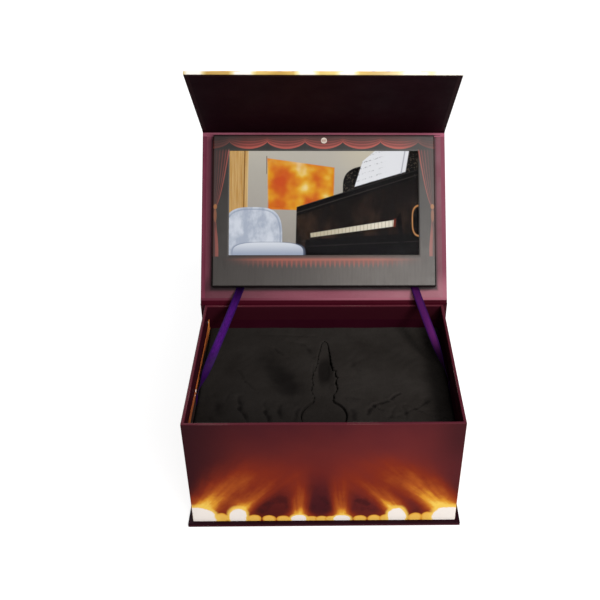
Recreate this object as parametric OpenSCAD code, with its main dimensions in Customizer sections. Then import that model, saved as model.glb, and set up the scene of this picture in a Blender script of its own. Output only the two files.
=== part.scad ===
// Presentation box with a video screen in its lid.
// A rigid tray stands on a wrapped case whose lid opens past upright, held by two ribbons.
// Origin: centre of the underside of the case's base. +Z up, the front of the box faces -Y. Millimetres.

/* [Case] */
// Thickness of the case boards
board = 2.5; // [1.5:0.1:3.5]
// Thickness of the wrapping and lining papers
paper = 0.2; // [0.15:0.05:0.3]
// How far the case stands out beyond the tray at each side
side_overhang = 3.5; // [1:0.5:8]
// How far the base stands out in front of the tray
front_overhang = 3; // [1:0.5:8]
// Bare border between the edge of a board and its lining sheet
border = 3.5; // [2:0.5:10]

/* [Tray] */
// Height of the tray
tray_h = 98; // [70:1:140]
// Space between the closed lid's panel and the side walls
panel_side_play = 4.3; // [1:0.1:20]
// Space between the closed lid's panel and the front wall
panel_front_play = 1.05; // [0.8:0.05:20]
// Thickness of the tray boards
wall = 1.8; // [1.2:0.1:3]
// How far the wrap is turned down inside the rim
turn_in = 14; // [5:1:20]

/* [Lid] */
// Space between the closed flap and the tray's front
flap_play = 1.95; // [1.5:0.05:4]
// Height of the hinge crease above the tray's rim
hinge_rise = 1.2; // [0.8:0.1:3]
// Bare wrap between a crease and the edge of the next board
crease_gap = 2.6; // [2:0.1:4]
// Angle of the open lid, from closed
lid_open = 129; // [100:1:140]

/* [Flap] */
// Space between the closed flap's free edge and the base
flap_foot = 1.2; // [1:0.1:40]
// Angle between the lid and the flap as it stands
flap_stand = 99.5; // [91:0.5:170]
// Diameter of a magnet
magnet_d = 12; // [6:1:16]
// Thickness of a magnet
magnet_t = 1.2; // [0.8:0.1:1.5]
// Distance of the magnets from the flap's free edge
magnet_edge = 14; // [9:1:30]
// Distance of each magnet from the middle
magnet_x = 60; // [20:1:85]

/* [Video panel] */
// Width of the panel's frame at each side of the display module
panel_side = 8; // [7:0.5:30]
// Height of the panel's frame below the display module
panel_foot = 16; // [16:0.5:40]
// Height of the panel's frame above the display module
panel_head = 8; // [7.5:0.5:30]
// Distance from the hinge crease to the panel
panel_start = 12; // [11:0.5:20]
// Thickness of the face card
face_t = 1.2; // [0.8:0.1:2]
// Thickness of the back card
back_t = 0.8; // [0.6:0.1:1.2]

/* [Screen] */
// Width of the visible picture
screen_w = 154.1; // [120:0.1:158]
// Height of the visible picture
screen_h = 85.9; // [60:0.1:88]
// Width of the display module
module_w = 165; // [162:0.5:220]
// Height of the display module
module_h = 100; // [98:0.5:150]
// Thickness of the display's metal backed light unit
module_t = 2.4; // [1.5:0.1:2.6]
// Thickness of the display glass
glass_t = 0.8; // [0.5:0.1:1]
// Distance from the module's lower edge to the picture
module_foot = 9.6; // [8:0.1:11]

/* [Electronics] */
// Length of the battery pouch
battery_w = 60; // [30:1:70]
// Height of the battery pouch
battery_h = 45; // [20:1:50]
// Thickness of the battery pouch
battery_t = 3.2; // [2.6:0.1:6]
// Length of the main circuit board
pcb_w = 70; // [50:1:74]
// Height of the main circuit board
pcb_h = 38; // [30:1:48]
// Thickness of the main circuit board
pcb_t = 0.8; // [0.6:0.1:1]
// Width and height of the largest chip
chip_w = 12; // [6:0.5:14]
// Width of the speaker
speaker_w = 15; // [10:0.5:20]
// Height of the speaker
speaker_h = 11; // [8:0.5:11]
// Thickness of the speaker
speaker_t = 3.5; // [2.5:0.1:5]
// Diameter of the light sensor
sensor_d = 5.1; // [3:0.1:6]
// Distance from the panel's upper edge to the light sensor
sensor_edge = 4.1; // [3.6:0.1:4.6]
// Diameter of a lead
lead_d = 0.8; // [0.5:0.1:1]

/* [Foam] */
// Depth from the tray's rim down to the foam
foam_drop = 23.4; // [15:0.1:40]
// Thickness of the upper foam sheet, which the pocket is cut through
foam_sheet = 25; // [10:1:30]
// How far the loose plug lies below the foam's face
plug_drop = 2; // [1:0.5:8]
// Width of the cut round the plug
kerf = 0.5; // [0.3:0.1:1]
// Space between the foam and the walls
foam_play = 0.5; // [0.4:0.1:2]
// Radius of the pocket's round end
bulb_r = 17; // [10:0.5:25]
// Distance from the inside of the front wall to the round end's centre
bulb_y = 31; // [26:0.5:45]
// Half width of the pocket's neck
neck_r = 10; // [6:0.5:14]
// Length of the pocket's neck and spire, from the round end's centre
spire_len = 86; // [60:1:95]
// Thickness of the card strip along the left wall
side_card_t = 0.5; // [0.3:0.1:1]
// How far the card strip stands above the foam
side_card_rise = 8.5; // [3:0.5:14]

/* [Ribbons] */
// Width of a ribbon
ribbon_w = 7; // [4:0.5:10]
// Thickness of a ribbon
ribbon_t = 0.3; // [0.2:0.05:0.4]
// Distance of the left ribbon from the middle, where it leaves the panel
ribbon_left_x = 68; // [50:1:78]
// Distance of the right ribbon from the middle, where it leaves the panel
ribbon_right_x = 74; // [50:1:78]
// Distance from the inside of the front wall to the left ribbon's lower end
ribbon_left_y = 49; // [30:1:90]
// Distance from the inside of the front wall to the right ribbon's lower end
ribbon_right_y = 63; // [30:1:90]
// Length of the glued tail at each end of a ribbon
ribbon_tail = 16; // [8:1:16]

/* [Hidden] */
$fn = 48;
eps = 0.01;

// Colours
greyboard = "#8a8378";
maroon = "#3c1016";
plum = "#5a2436";
black_card = "#1c1a1a";
steel = "#b8babd";
copper = "#b87333";

// Video panel, in the lid's own frame
part_play = 0.3;
panel_w = module_w + 2 * panel_side;
panel_h = panel_foot + module_h + panel_head;
panel_top = panel_start + panel_h;
module_v = panel_start + panel_foot;
module_top = module_v + module_h;
screen_v = module_v + module_foot;
module_n0 = back_t + battery_t + 2 * part_play;
glass_n0 = module_n0 + module_t;
frame_n1 = glass_n0 + glass_t;
panel_t = frame_n1 + face_t;
glass_inset = 2;
driver_ledge = 5;

// Case and tray
lip = paper + wall + paper;
tray_w = panel_w + 2 * (panel_side_play + lip);
tray_d = panel_start + panel_h + panel_front_play + lip - board / 2;
lid_reach = tray_d + board / 2 + flap_play;
flap_len = tray_h + hinge_rise - flap_foot;
case_w = tray_w + 2 * side_overhang;
base_d = front_overhang + tray_d;
front_y = -base_d / 2 + front_overhang;
back_y = base_d / 2;
base_top = paper + board;
rim_z = base_top + tray_h;
inner_w = tray_w - 2 * lip;
inner_d = tray_d - 2 * lip;
inner_front_y = front_y + lip;
tray_y = (front_y + back_y) / 2;
floor_top = base_top + wall;
hinge_y = back_y + board / 2;
hinge_z = rim_z + hinge_rise;
crease_r = 0.6;
crease_w = case_w - 2 * border;
hinge_play = 0.3;
skin = board + 2 * paper;

// Inside the panel, in the lid's own frame
frame_rib = 4;
well_inset = 10;
well_v = panel_start + frame_rib;
board_side = 4;
pcb_x = -pcb_w - board_side;
pcb_v = module_v + 7.5;
pcb_n0 = module_n0 - 2 * part_play - pcb_t - 0.2;
chip_t = pcb_n0 - back_t - part_play;
battery_x = 6;
battery_v = module_v + 13.5;
battery_n0 = back_t + part_play;
lead_n = pcb_n0 - lead_d / 2;
lead_lap = 4;
speaker_x = 24.5 - module_w / 2;
speaker_v = module_v - part_play - speaker_h;
usb_w = 7.6;
usb_l = 5.6;
usb_t = 2.6;
usb_wall = 0.4;
usb_v = module_v + 0.3 * module_h;
flex_w = 20;
flex_x = -38;
flex_t = 0.2;
flex_loop = 2;
sensor_v = panel_top - sensor_edge;
sensor_t = 2;
cable_w = 1.6;
cable_t = 0.3;
cable_n = back_t + part_play;
cable_v = pcb_v + 0.85 * pcb_h;
cable_end_x = pcb_x + 0.9 * pcb_w;

// Foam and ribbons
foam_z = rim_z - foam_drop;
foam_w = inner_w - side_card_t - 2 * foam_play;
foam_x = side_card_t / 2;
foam_d = inner_d - 2 * foam_play;
cut_z = foam_z - foam_sheet;
bulb_pos = inner_front_y + bulb_y;
ribbon_depth = 1;
ribbon_steps = 24;

// Places the children in the lid's frame: x across, y away from the crease, z out of the inner face
module in_lid() {
    translate([0, hinge_y, hinge_z])
        rotate([180 - lid_open, 0, 0])
            children();
}

// Places the children in the flap's frame, laid out in the same way from the flap's fold
module in_flap() {
    in_lid()
        translate([0, lid_reach, 0])
            rotate([180 - flap_stand, 0, 0])
                children();
}

// A block centred across x, from y0 to y1 and from z0 to z1
module slab(w, y0, y1, z0, z1) {
    translate([-w / 2, y0, z0])
        cube([w, y1 - y0, z1 - z0]);
}

// A block that starts at a corner and has the given size
module block(corner, size) {
    translate(corner)
        cube(size);
}

// A ring of paper or board standing round the tray's middle
module ring(w, d, t, z0, z1) {
    translate([0, tray_y, z0])
        linear_extrude(z1 - z0)
            difference() {
                square([w, d], center = true);
                square([w - 2 * t, d - 2 * t], center = true);
            }
}

// A lead from a to b
module lead(a, b) {
    run = b - a;
    translate(a)
        rotate([0, acos(run.z / norm(run)), atan2(run.y, run.x)])
            cylinder(h = norm(run), d = lead_d, $fn = 16);
}

// ---------- Case base and spine ----------

module base_board() {
    color(greyboard)
        slab(case_w - 2 * paper, -base_d / 2 + paper, back_y, paper, base_top);
}

// The printed wrap under the base, up its edges and over the strip outside the tray
module base_wrap() {
    color(maroon)
        difference() {
            slab(case_w, -base_d / 2, back_y, 0, base_top + paper);
            slab(case_w - 2 * paper, -base_d / 2 + paper, back_y + 1, paper, base_top);
            slab(tray_w, front_y, back_y + 1, base_top - eps, base_top + 1);
        }
}

module spine_board() {
    color(greyboard)
        slab(case_w - 2 * paper, back_y, back_y + board, paper, rim_z - paper);
}

module spine_wrap() {
    color(maroon)
        difference() {
            slab(case_w, back_y, back_y + board + paper, 0, rim_z);
            slab(case_w - 2 * paper, back_y - 1, back_y + board, paper, rim_z - paper);
        }
}

// ---------- Tray ----------

module tray_floor() {
    color(greyboard)
        slab(tray_w - 2 * (paper + wall), front_y + paper + wall, back_y - paper - wall, base_top, floor_top);
}

module magnet_places(z) {
    for (side = [-1, 1])
        translate([side * magnet_x, 0, z])
            children();
}

magnet_z = hinge_z - (flap_len - magnet_edge);

module tray_front_wall() {
    color(greyboard)
        difference() {
            slab(tray_w - 2 * paper, front_y + paper, front_y + paper + wall, base_top, rim_z - paper);
            magnet_places(magnet_z)
                translate([0, front_y + paper + magnet_t, 0])
                    rotate([90, 0, 0])
                        cylinder(h = magnet_t + 1, d = magnet_d + 2 * part_play);
        }
}

module tray_back_wall() {
    color(greyboard)
        slab(tray_w - 2 * paper, back_y - paper - wall, back_y - paper, base_top, rim_z - paper);
}

module tray_side_wall(side) {
    color(greyboard)
        translate([side * (tray_w / 2 - paper - wall / 2), 0, 0])
            slab(wall, front_y + paper + wall, back_y - paper - wall, base_top, rim_z - paper);
}

module tray_left_wall() {
    tray_side_wall(-1);
}

module tray_right_wall() {
    tray_side_wall(1);
}

// The printed wrap round the outside, over the rim and down inside it
module tray_wrap() {
    color(maroon) {
        ring(tray_w, tray_d, paper, base_top, rim_z);
        ring(tray_w - paper, tray_d - paper, wall + 1.5 * paper, rim_z - paper, rim_z);
        ring(inner_w + 2 * paper, inner_d + 2 * paper, paper, rim_z - turn_in, rim_z);
    }
}

module tray_lining() {
    color(maroon)
        ring(inner_w + 2 * paper, inner_d + 2 * paper, paper, floor_top, rim_z - turn_in);
}

module tray_magnets() {
    color(steel)
        magnet_places(magnet_z)
            translate([0, front_y + paper + magnet_t, 0])
                rotate([90, 0, 0])
                    cylinder(h = magnet_t, d = magnet_d);
}

// The card strip along the left wall, cut to a point at its back end
module side_card() {
    card_top = foam_z + side_card_rise;
    card_y0 = inner_front_y + part_play;
    card_y1 = back_y - lip - part_play;
    color("#b45f1e")
        translate([-inner_w / 2, 0, 0])
            rotate([90, 0, 90])
                linear_extrude(side_card_t)
                    polygon([
                        [card_y0, floor_top], [card_y1, floor_top], [card_y1, card_top - 3],
                        [card_y1 - 3, card_top], [card_y0, card_top]
                    ]);
}

// ---------- Foam ----------

// The right-hand edge of the cut: a round end, a notched neck and a tapering spire.
// Each point is measured from the round end's centre, and grow moves it outwards.
function pocket_edge(grow) = concat(
    [for (a = [-90 : 5 : 60]) (bulb_r + grow) * [cos(a), sin(a)]],
    [for (p = [
        [neck_r * 0.80, bulb_r + 2], [neck_r * 0.70, bulb_r + 5], [neck_r, bulb_r + 9.5],
        [neck_r * 0.93, bulb_r + 14], [neck_r * 1.05, bulb_r + 19], [neck_r * 0.95, bulb_r + 24],
        [neck_r * 1.03, bulb_r + 28], [neck_r * 0.96, bulb_r + 31], [neck_r * 0.70, bulb_r + 35.5],
        [neck_r * 0.55, spire_len * 0.80], [neck_r * 0.30, spire_len - 2]
    ]) [p.x + grow, p.y]],
    [[1 + grow / 2, spire_len + grow]]
);

// The outline that is cut out of the foam, drawn larger by grow on every side
module pocket_outline(grow) {
    right = pocket_edge(grow);
    left = [for (i = [len(right) - 1 : -1 : 1]) [-right[i].x, right[i].y]];
    translate([0, bulb_pos])
        polygon(concat(right, left));
}

module foam_block(z0, z1) {
    translate([foam_x, 0, 0])
        slab(foam_w, tray_y - foam_d / 2, tray_y + foam_d / 2, z0, z1);
}

module foam_base() {
    color("#2a2826")
        foam_block(floor_top, cut_z);
}

module foam_top() {
    color("#2a2826")
        difference() {
            foam_block(cut_z, foam_z);
            translate([0, 0, cut_z - 1])
                linear_extrude(foam_sheet + 2)
                    pocket_outline(0);
        }
}

module foam_plug() {
    color("#242220")
        translate([0, 0, cut_z])
            linear_extrude(foam_sheet - plug_drop)
                pocket_outline(-kerf);
}

// ---------- Ribbons and creases ----------

// A point of the lid's frame, in the box's frame
function from_lid(p) = [
    p.x,
    hinge_y - p.y * cos(lid_open) - p.z * sin(lid_open),
    hinge_z + p.y * sin(lid_open) - p.z * cos(lid_open)
];

// A flat band from a to b whose width turns from the direction wa to wb
module band(a, b, wa, wb) {
    along = (b - a) / norm(b - a);
    rings = [for (i = [0 : ribbon_steps])
        let (
            s = i / ribbon_steps,
            turned = wa * (1 - s) + wb * s,
            w = turned / norm(turned) * ribbon_w / 2,
            face = cross(along, turned),
            up = face / norm(face) * ribbon_t / 2,
            c = a + (b - a) * s
        )
        each [c - w - up, c + w - up, c + w + up, c - w + up]
    ];
    last = 4 * ribbon_steps;
    sides = [for (i = [0 : ribbon_steps - 1], k = [0 : 3])
        let (a0 = 4 * i + k, b0 = 4 * i + (k + 1) % 4)
        each [[a0, a0 + 4, b0 + 4], [a0, b0 + 4, b0]]
    ];
    polyhedron(
        points = rings,
        faces = concat([[0, 1, 2, 3]], sides, [[last + 3, last + 2, last + 1, last]]),
        convexity = 4
    );
}

// A ribbon from under the panel to the side wall, with its glued tail on the lid
module ribbon(side, leave_x, low_y, wall_gap) {
    leave = [leave_x, panel_start - 0.4, back_t / 2];
    low = [side * (inner_w / 2 - wall_gap - ribbon_t), inner_front_y + low_y, foam_z + 0.6 * ribbon_w];
    color("#4b1e86") {
        band(from_lid(leave), low, [1, 0, 0], [0, 0.25, -1]);
        in_lid()
            block([leave_x - ribbon_w / 2 + eps, panel_start - 0.4, back_t / 2 - ribbon_t / 2],
                [ribbon_w - 2 * eps, ribbon_tail, ribbon_t]);
    }
}

module ribbon_left() {
    ribbon(-1, -ribbon_left_x, ribbon_left_y, side_card_t);
}

module ribbon_right() {
    ribbon(1, ribbon_right_x, ribbon_right_y, 0);
}

// The folded wrap at a crease: a round bend on the axis
module crease_bend() {
    rotate([0, 90, 0])
        cylinder(h = crease_w, r = crease_r, center = true, $fn = 24);
}

// A leaf of the folded wrap, in the frame of the board that it reaches
module crease_leaf(v0, v1) {
    slab(crease_w, v0, v1, -paper, 0);
}

module lid_hinge_paper() {
    color(plum) {
        translate([0, hinge_y, hinge_z]) {
            crease_bend();
            slab(crease_w, -paper / 2, paper / 2, -hinge_rise, 0);
        }
        in_lid()
            crease_leaf(0, crease_gap - hinge_play);
    }
}

module flap_hinge_paper() {
    color(plum) {
        in_lid()
            translate([0, lid_reach, 0]) {
                crease_bend();
                crease_leaf(hinge_play - crease_gap, 0);
            }
        in_flap()
            crease_leaf(0, crease_gap);
    }
}

// ---------- Lid ----------

// A board of the lid or the flap, between two distances from its crease
module leaf_board(v0, v1) {
    color(greyboard)
        slab(case_w - 2 * paper, v0, v1, -paper - board, -paper);
}

// The wrap of a leaf: its outer sheet, its edges and the border that is turned in.
// The board ends at board_end, and the lining at lining_end.
module leaf_wrap(v0, v1, board_end, lining_end) {
    color(maroon)
        difference() {
            slab(case_w, v0, v1, -skin, 0);
            slab(case_w - 2 * paper, v0 - 1, board_end, -paper - board, -paper);
            slab(case_w - 2 * border, v0 - 1, lining_end, -paper - eps, 1);
        }
}

module leaf_lining(v0, v1) {
    color(plum)
        slab(case_w - 2 * border, v0, v1, -paper, 0);
}

lid_end = lid_reach - crease_gap;

module lid_board() {
    in_lid()
        leaf_board(crease_gap, lid_end);
}

module lid_wrap() {
    in_lid()
        leaf_wrap(crease_gap, lid_end, lid_end + 1, lid_end + 1);
}

module lid_lining() {
    in_lid()
        leaf_lining(crease_gap, lid_end);
}

// ---------- Flap ----------

module flap_magnet_places() {
    for (side = [-1, 1])
        translate([side * magnet_x, flap_len - magnet_edge, -paper - magnet_t])
            children();
}

module flap_board() {
    in_flap()
        difference() {
            leaf_board(crease_gap, flap_len - paper);
            flap_magnet_places()
                cylinder(h = magnet_t + 1, d = magnet_d + 2 * part_play);
        }
}

module flap_wrap() {
    in_flap()
        leaf_wrap(crease_gap, flap_len, flap_len - paper, flap_len - border);
}

module flap_lining() {
    in_flap()
        leaf_lining(crease_gap, flap_len - border);
}

module flap_magnets() {
    color(steel)
        in_flap()
            flap_magnet_places()
                cylinder(h = magnet_t, d = magnet_d);
}

// ---------- Video panel ----------

module ribbon_notches() {
    for (x = [-ribbon_left_x, ribbon_right_x])
        block([x - ribbon_w / 2 - part_play, panel_start - 1, -1],
            [ribbon_w + 2 * part_play, ribbon_tail + 1, back_t + 1 + eps]);
}

module panel_back_card() {
    color(greyboard)
        in_lid()
            difference() {
                slab(panel_w, panel_start, panel_top, 0, back_t);
                ribbon_notches();
            }
}

// The spacer frame round the display, with its seats for the speaker, the port and the sensor
module panel_frame() {
    color(black_card)
        in_lid()
            difference() {
                slab(panel_w, panel_start, panel_top, back_t, frame_n1);
                slab(module_w + 2 * part_play, module_v - part_play, module_top + part_play,
                    back_t - 1, frame_n1 + 1);
                slab(module_w - 2 * well_inset, well_v, module_v, back_t - 1, frame_n1 + 1);
                block([panel_w / 2 - usb_l - part_play, usb_v - usb_w / 2 - part_play, back_t - 1],
                    [usb_l + 1, usb_w + 2 * part_play, usb_t + part_play + 1]);
                translate([0, sensor_v, panel_t - sensor_t])
                    cylinder(h = sensor_t + 1, d = sensor_d + 2 * part_play);
                block([-cable_w / 2 - part_play, module_top, back_t - 1],
                    [cable_w + 2 * part_play, sensor_v - module_top, panel_t]);
            }
}

module panel_face_card() {
    color(black_card)
        in_lid()
            difference() {
                slab(panel_w, panel_start, panel_top, frame_n1, panel_t);
                slab(screen_w, screen_v, screen_v + screen_h, frame_n1 - 1, panel_t + 1);
                translate([0, sensor_v, frame_n1 - 1])
                    cylinder(h = face_t + 2, d = sensor_d + 2 * part_play);
            }
}

module screen_glass() {
    color("#20242c")
        in_lid()
            slab(module_w - 2 * glass_inset, module_v + driver_ledge, module_top - glass_inset,
                glass_n0, frame_n1);
}

module lcd_module() {
    color(steel)
        in_lid()
            slab(module_w, module_v, module_top, module_n0, glass_n0);
}

// The flat cable from the display's lower edge, folded back to the main board
module lcd_flex() {
    flex_low = module_v - flex_loop;
    flex_n = module_n0 + module_t / 2;
    board_n = pcb_n0 + pcb_t;
    color("#c07a2c")
        in_lid() {
            block([flex_x - flex_w / 2, flex_low, flex_n], [flex_w, module_v - flex_low, flex_t]);
            block([flex_x - flex_w / 2, flex_low, board_n], [flex_w, flex_t, flex_n + flex_t - board_n]);
            block([flex_x - flex_w / 2, flex_low, board_n], [flex_w, pcb_v + lead_lap - flex_low, flex_t]);
        }
}

module main_board() {
    color("#1f5a34")
        in_lid()
            block([pcb_x, pcb_v, pcb_n0], [pcb_w, pcb_h, pcb_t]);
}

// The chips, the memory and the coil, on the side of the board that faces the lid
module board_chips() {
    sizes = chip_w * [[1, 1], [0.65, 0.8], [0.4, 0.5], [0.35, 0.35]];
    heights = chip_t * [1, 0.9, 0.8, 1];
    color("#16181a")
        in_lid()
            for (i = [0 : len(sizes) - 1])
                block([pcb_x + (0.5 + i) * pcb_w / 4 - sizes[i].x / 2, pcb_v + pcb_h / 2, pcb_n0 - heights[i]],
                    [sizes[i].x, sizes[i].y, heights[i]]);
}

module battery() {
    color("#c9ccd0")
        in_lid()
            block([battery_x, battery_v, battery_n0], [battery_w, battery_h, battery_t]);
}

module battery_leads() {
    color("#b02020")
        in_lid()
            for (k = [0, 1])
                lead(
                    [battery_x, battery_v + (2 + 4 * k) * lead_d, lead_n],
                    [pcb_x + pcb_w - lead_lap, battery_v + (2 + 4 * k) * lead_d, lead_n]
                );
}

module speaker() {
    color("#2b2d30")
        in_lid()
            block([speaker_x - speaker_w / 2, speaker_v, back_t], [speaker_w, speaker_h, speaker_t]);
}

module speaker_leads() {
    color("#202020")
        in_lid()
            for (k = [0, 1])
                lead(
                    [speaker_x + (k - 0.5) * speaker_w / 4, speaker_v + speaker_h, lead_n],
                    [speaker_x + (k - 0.5) * speaker_w / 4, pcb_v + lead_lap, lead_n]
                );
}

// The charging port, a metal shell with a slot, in the panel's side
module usb_port() {
    color(steel)
        in_lid()
            difference() {
                block([panel_w / 2 - usb_l, usb_v - usb_w / 2, back_t], [usb_l, usb_w, usb_t]);
                block([panel_w / 2 - usb_l + usb_wall, usb_v - usb_w / 2 + usb_wall, back_t + usb_wall],
                    [usb_l, usb_w - 2 * usb_wall, usb_t - 2 * usb_wall]);
            }
}

module light_sensor() {
    color("#e6ddc4")
        in_lid()
            translate([0, sensor_v, panel_t - sensor_t])
                cylinder(h = sensor_t, d = sensor_d);
}

// The sensor's flat cable, down its slot and behind the display to the main board
module sensor_cable() {
    color(copper)
        in_lid() {
            block([-cable_w / 2, sensor_v - 1, cable_n], [cable_w, cable_t, panel_t - sensor_t - cable_n]);
            block([-cable_w / 2, cable_v, cable_n], [cable_w, sensor_v - 1 + cable_t - cable_v, cable_t]);
            block([cable_end_x, cable_v, cable_n], [-cable_end_x, cable_w, cable_t]);
            block([cable_end_x, cable_v, cable_n], [cable_t, cable_w, pcb_n0 - cable_n]);
        }
}

base_board();
base_wrap();
spine_board();
spine_wrap();
tray_floor();
tray_front_wall();
tray_back_wall();
tray_left_wall();
tray_right_wall();
tray_wrap();
tray_lining();
tray_magnets();
side_card();
foam_base();
foam_top();
foam_plug();
ribbon_left();
ribbon_right();
lid_hinge_paper();
lid_board();
lid_wrap();
lid_lining();
panel_back_card();
panel_frame();
panel_face_card();
screen_glass();
lcd_module();
lcd_flex();
main_board();
board_chips();
battery();
battery_leads();
speaker();
speaker_leads();
usb_port();
light_sensor();
sensor_cable();
flap_board();
flap_wrap();
flap_lining();
flap_magnets();
flap_hinge_paper();
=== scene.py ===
import math

import bmesh
import bpy
import numpy as np
from mathutils import Matrix


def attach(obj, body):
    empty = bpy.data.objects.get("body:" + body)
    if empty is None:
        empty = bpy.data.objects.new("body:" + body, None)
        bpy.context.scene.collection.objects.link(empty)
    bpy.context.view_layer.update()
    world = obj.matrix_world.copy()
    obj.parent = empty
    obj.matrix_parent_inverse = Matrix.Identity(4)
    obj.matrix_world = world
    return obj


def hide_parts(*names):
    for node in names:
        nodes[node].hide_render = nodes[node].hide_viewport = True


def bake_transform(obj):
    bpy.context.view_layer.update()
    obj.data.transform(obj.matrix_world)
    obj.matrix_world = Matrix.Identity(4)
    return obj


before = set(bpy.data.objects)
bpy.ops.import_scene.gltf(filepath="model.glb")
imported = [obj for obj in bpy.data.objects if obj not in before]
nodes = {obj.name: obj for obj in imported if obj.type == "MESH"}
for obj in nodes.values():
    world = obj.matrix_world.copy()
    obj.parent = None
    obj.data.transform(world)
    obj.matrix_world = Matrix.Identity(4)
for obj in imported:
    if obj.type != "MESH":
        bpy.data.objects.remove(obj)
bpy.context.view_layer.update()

mm = 0.001

# ---------- Camera ----------
# A product view: the camera stands in front of the box and looks down at it, a little to its
# right and with its head a little tilted.

eye = (1.26 * mm, -469.81 * mm, 492.50 * mm)
look_down = math.radians(33.83)
look_right = math.radians(1.26)
head_tilt = math.radians(0.61)
film = 36.0
# The frame's side, the focal length and the lens axis from the frame's left and top, in its pixels.
frame_side = 600.0
focal = 818.13
axis_right, axis_down = 340.65, 273.99

forward = np.array([
    math.sin(look_right) * math.cos(look_down),
    math.cos(look_right) * math.cos(look_down),
    -math.sin(look_down),
])
level = np.array([math.cos(look_right), -math.sin(look_right), 0.0])
upright = np.cross(level, forward)
across = level * math.cos(head_tilt) + upright * math.sin(head_tilt)
above = upright * math.cos(head_tilt) - level * math.sin(head_tilt)
camera = bpy.data.objects.new("camera", bpy.data.cameras.new("camera"))
turned = np.column_stack([across, above, -forward])
camera.matrix_world = Matrix.Translation(eye) @ Matrix(turned.tolist()).to_4x4()
camera.data.sensor_width = film
camera.data.lens = focal / frame_side * film
camera.data.shift_x = (frame_side / 2 - axis_right) / frame_side
camera.data.shift_y = (axis_down - frame_side / 2) / frame_side
camera.data.clip_start = 0.01
bpy.context.collection.objects.link(camera)
bpy.context.scene.camera = camera
bpy.context.scene.view_settings.view_transform = "Standard"

# ---------- Studio ----------
# A plain pale floor under a pale surround, with a soft lamp at the right and two wide ones, in
# front and behind.


def ink(code):
    """A printer's colour code, two hexadecimal digits for each of red, green and blue, as linear light."""
    parts = np.array([int(code[k:k + 2], 16) for k in (0, 2, 4)]) / 255
    light = np.where(parts <= 0.04045, parts / 12.92, ((parts + 0.055) / 1.055) ** 2.4)
    return (*(float(part) for part in light), 1.0)


def step(operation, swapped=False):
    """A method that adds one arithmetic node, with its two values in order or swapped."""
    def add_step(self, other=0.0):
        """The node that does this method's arithmetic."""
        return sums(operation, other, self) if swapped else sums(operation, self, other)

    return add_step


class Signal:
    """What one shader node hands to the next. Arithmetic written with signals adds the nodes for it."""

    __add__ = step("ADD")
    __sub__, __rsub__ = step("SUBTRACT"), step("SUBTRACT", swapped=True)
    __mul__, __rmul__ = step("MULTIPLY"), step("MULTIPLY", swapped=True)
    __truediv__ = step("DIVIDE")
    __pow__, __rpow__ = step("POWER"), step("POWER", swapped=True)
    __abs__ = step("ABSOLUTE")

    def __init__(self, socket):
        self.socket = socket


def put(tree, kind, *plugs, out=0, **settings):
    """One shader node. Its inputs are filled in order with numbers, colours, colour codes or signals."""
    node = tree.nodes.new("ShaderNode" + kind)
    for key, value in settings.items():
        setattr(node, key, value)
    for socket, plug in zip(node.inputs, plugs):
        if isinstance(plug, Signal):
            tree.links.new(plug.socket, socket)
        elif plug is not None:
            socket.default_value = ink(plug) if isinstance(plug, str) else plug
    return Signal(node.outputs[out])


def add(kind, *plugs, **settings):
    """One more node, in the tree that its signals come from."""
    tree = next(plug.socket.id_data for plug in plugs if isinstance(plug, Signal))
    return put(tree, kind, *plugs, **settings)


def sums(operation, a, b=0.0, c=0.0, clamp=False):
    """One step of arithmetic between numbers and signals."""
    return add("Math", a, b, c, operation=operation, use_clamp=clamp)


def feed(node, name, signal):
    """Leads a signal into a node's input."""
    node.id_data.links.new(signal.socket, node.inputs[name])


def place_in(shader):
    """Where a point lies, in the piece's own metres."""
    return put(shader.id_data, "TexCoord", out=3)


def blank(name, rough, **sockets):
    """A material with one shader, whose plain values are set on the shader itself. Returns both,
    and where a point lies."""
    mat = bpy.data.materials.new(name)
    mat.use_nodes = True
    shader = mat.node_tree.nodes["Principled BSDF"]
    shader.inputs["Roughness"].default_value = rough
    for key, value in sockets.items():
        shader.inputs[key.replace("_", " ")].default_value = value
    return mat, shader, place_in(shader)


def lamp(name, place, target, size, power, colour):
    """A square soft lamp at a place, turned to face a target."""
    light = bpy.data.objects.new(name, bpy.data.lights.new(name, "AREA"))
    light.data.size = size
    light.data.energy = power
    light.data.color = colour
    away = np.array(place) - np.array(target)
    away = away / np.linalg.norm(away)
    side = np.cross([0.0, 0.0, 1.0], away)
    side = side / np.linalg.norm(side)
    facing = np.column_stack([side, np.cross(away, side), away])
    light.matrix_world = Matrix.Translation(place) @ Matrix(facing.tolist()).to_4x4()
    bpy.context.collection.objects.link(light)


lamp("key_lamp", (0.80, -0.55, 1.10), (0.0, 0.0, 0.1), 0.36, 16.0, (1.0, 0.97, 0.94))
lamp("front_lamp", (0.52, -1.42, 1.16), (0.0, 0.05, 0.12), 0.9, 19.0, (1.0, 0.985, 0.965))
lamp("back_lamp", (-0.75, 1.35, 1.05), (0.0, 0.05, 0.12), 1.2, 13.0, (0.97, 0.98, 1.0))

surround = bpy.data.worlds.new("surround")
surround.use_nodes = True
sky = surround.node_tree
sky.nodes.clear()
rays = sky.nodes.new("ShaderNodeLightPath").outputs
white_light = (1.0, 1.0, 1.0, 1.0)
# The surround lights the box less than it shows behind it.
plain = put(sky, "Background", white_light, 0.30)
white = put(sky, "Background", white_light, 1.0)
shown = sums("MAXIMUM", Signal(rays["Is Camera Ray"]), Signal(rays["Is Transmission Ray"]))
feed(sky.nodes.new("ShaderNodeOutputWorld"), "Surface", add("MixShader", shown, plain, white))
bpy.context.scene.world = surround

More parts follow.
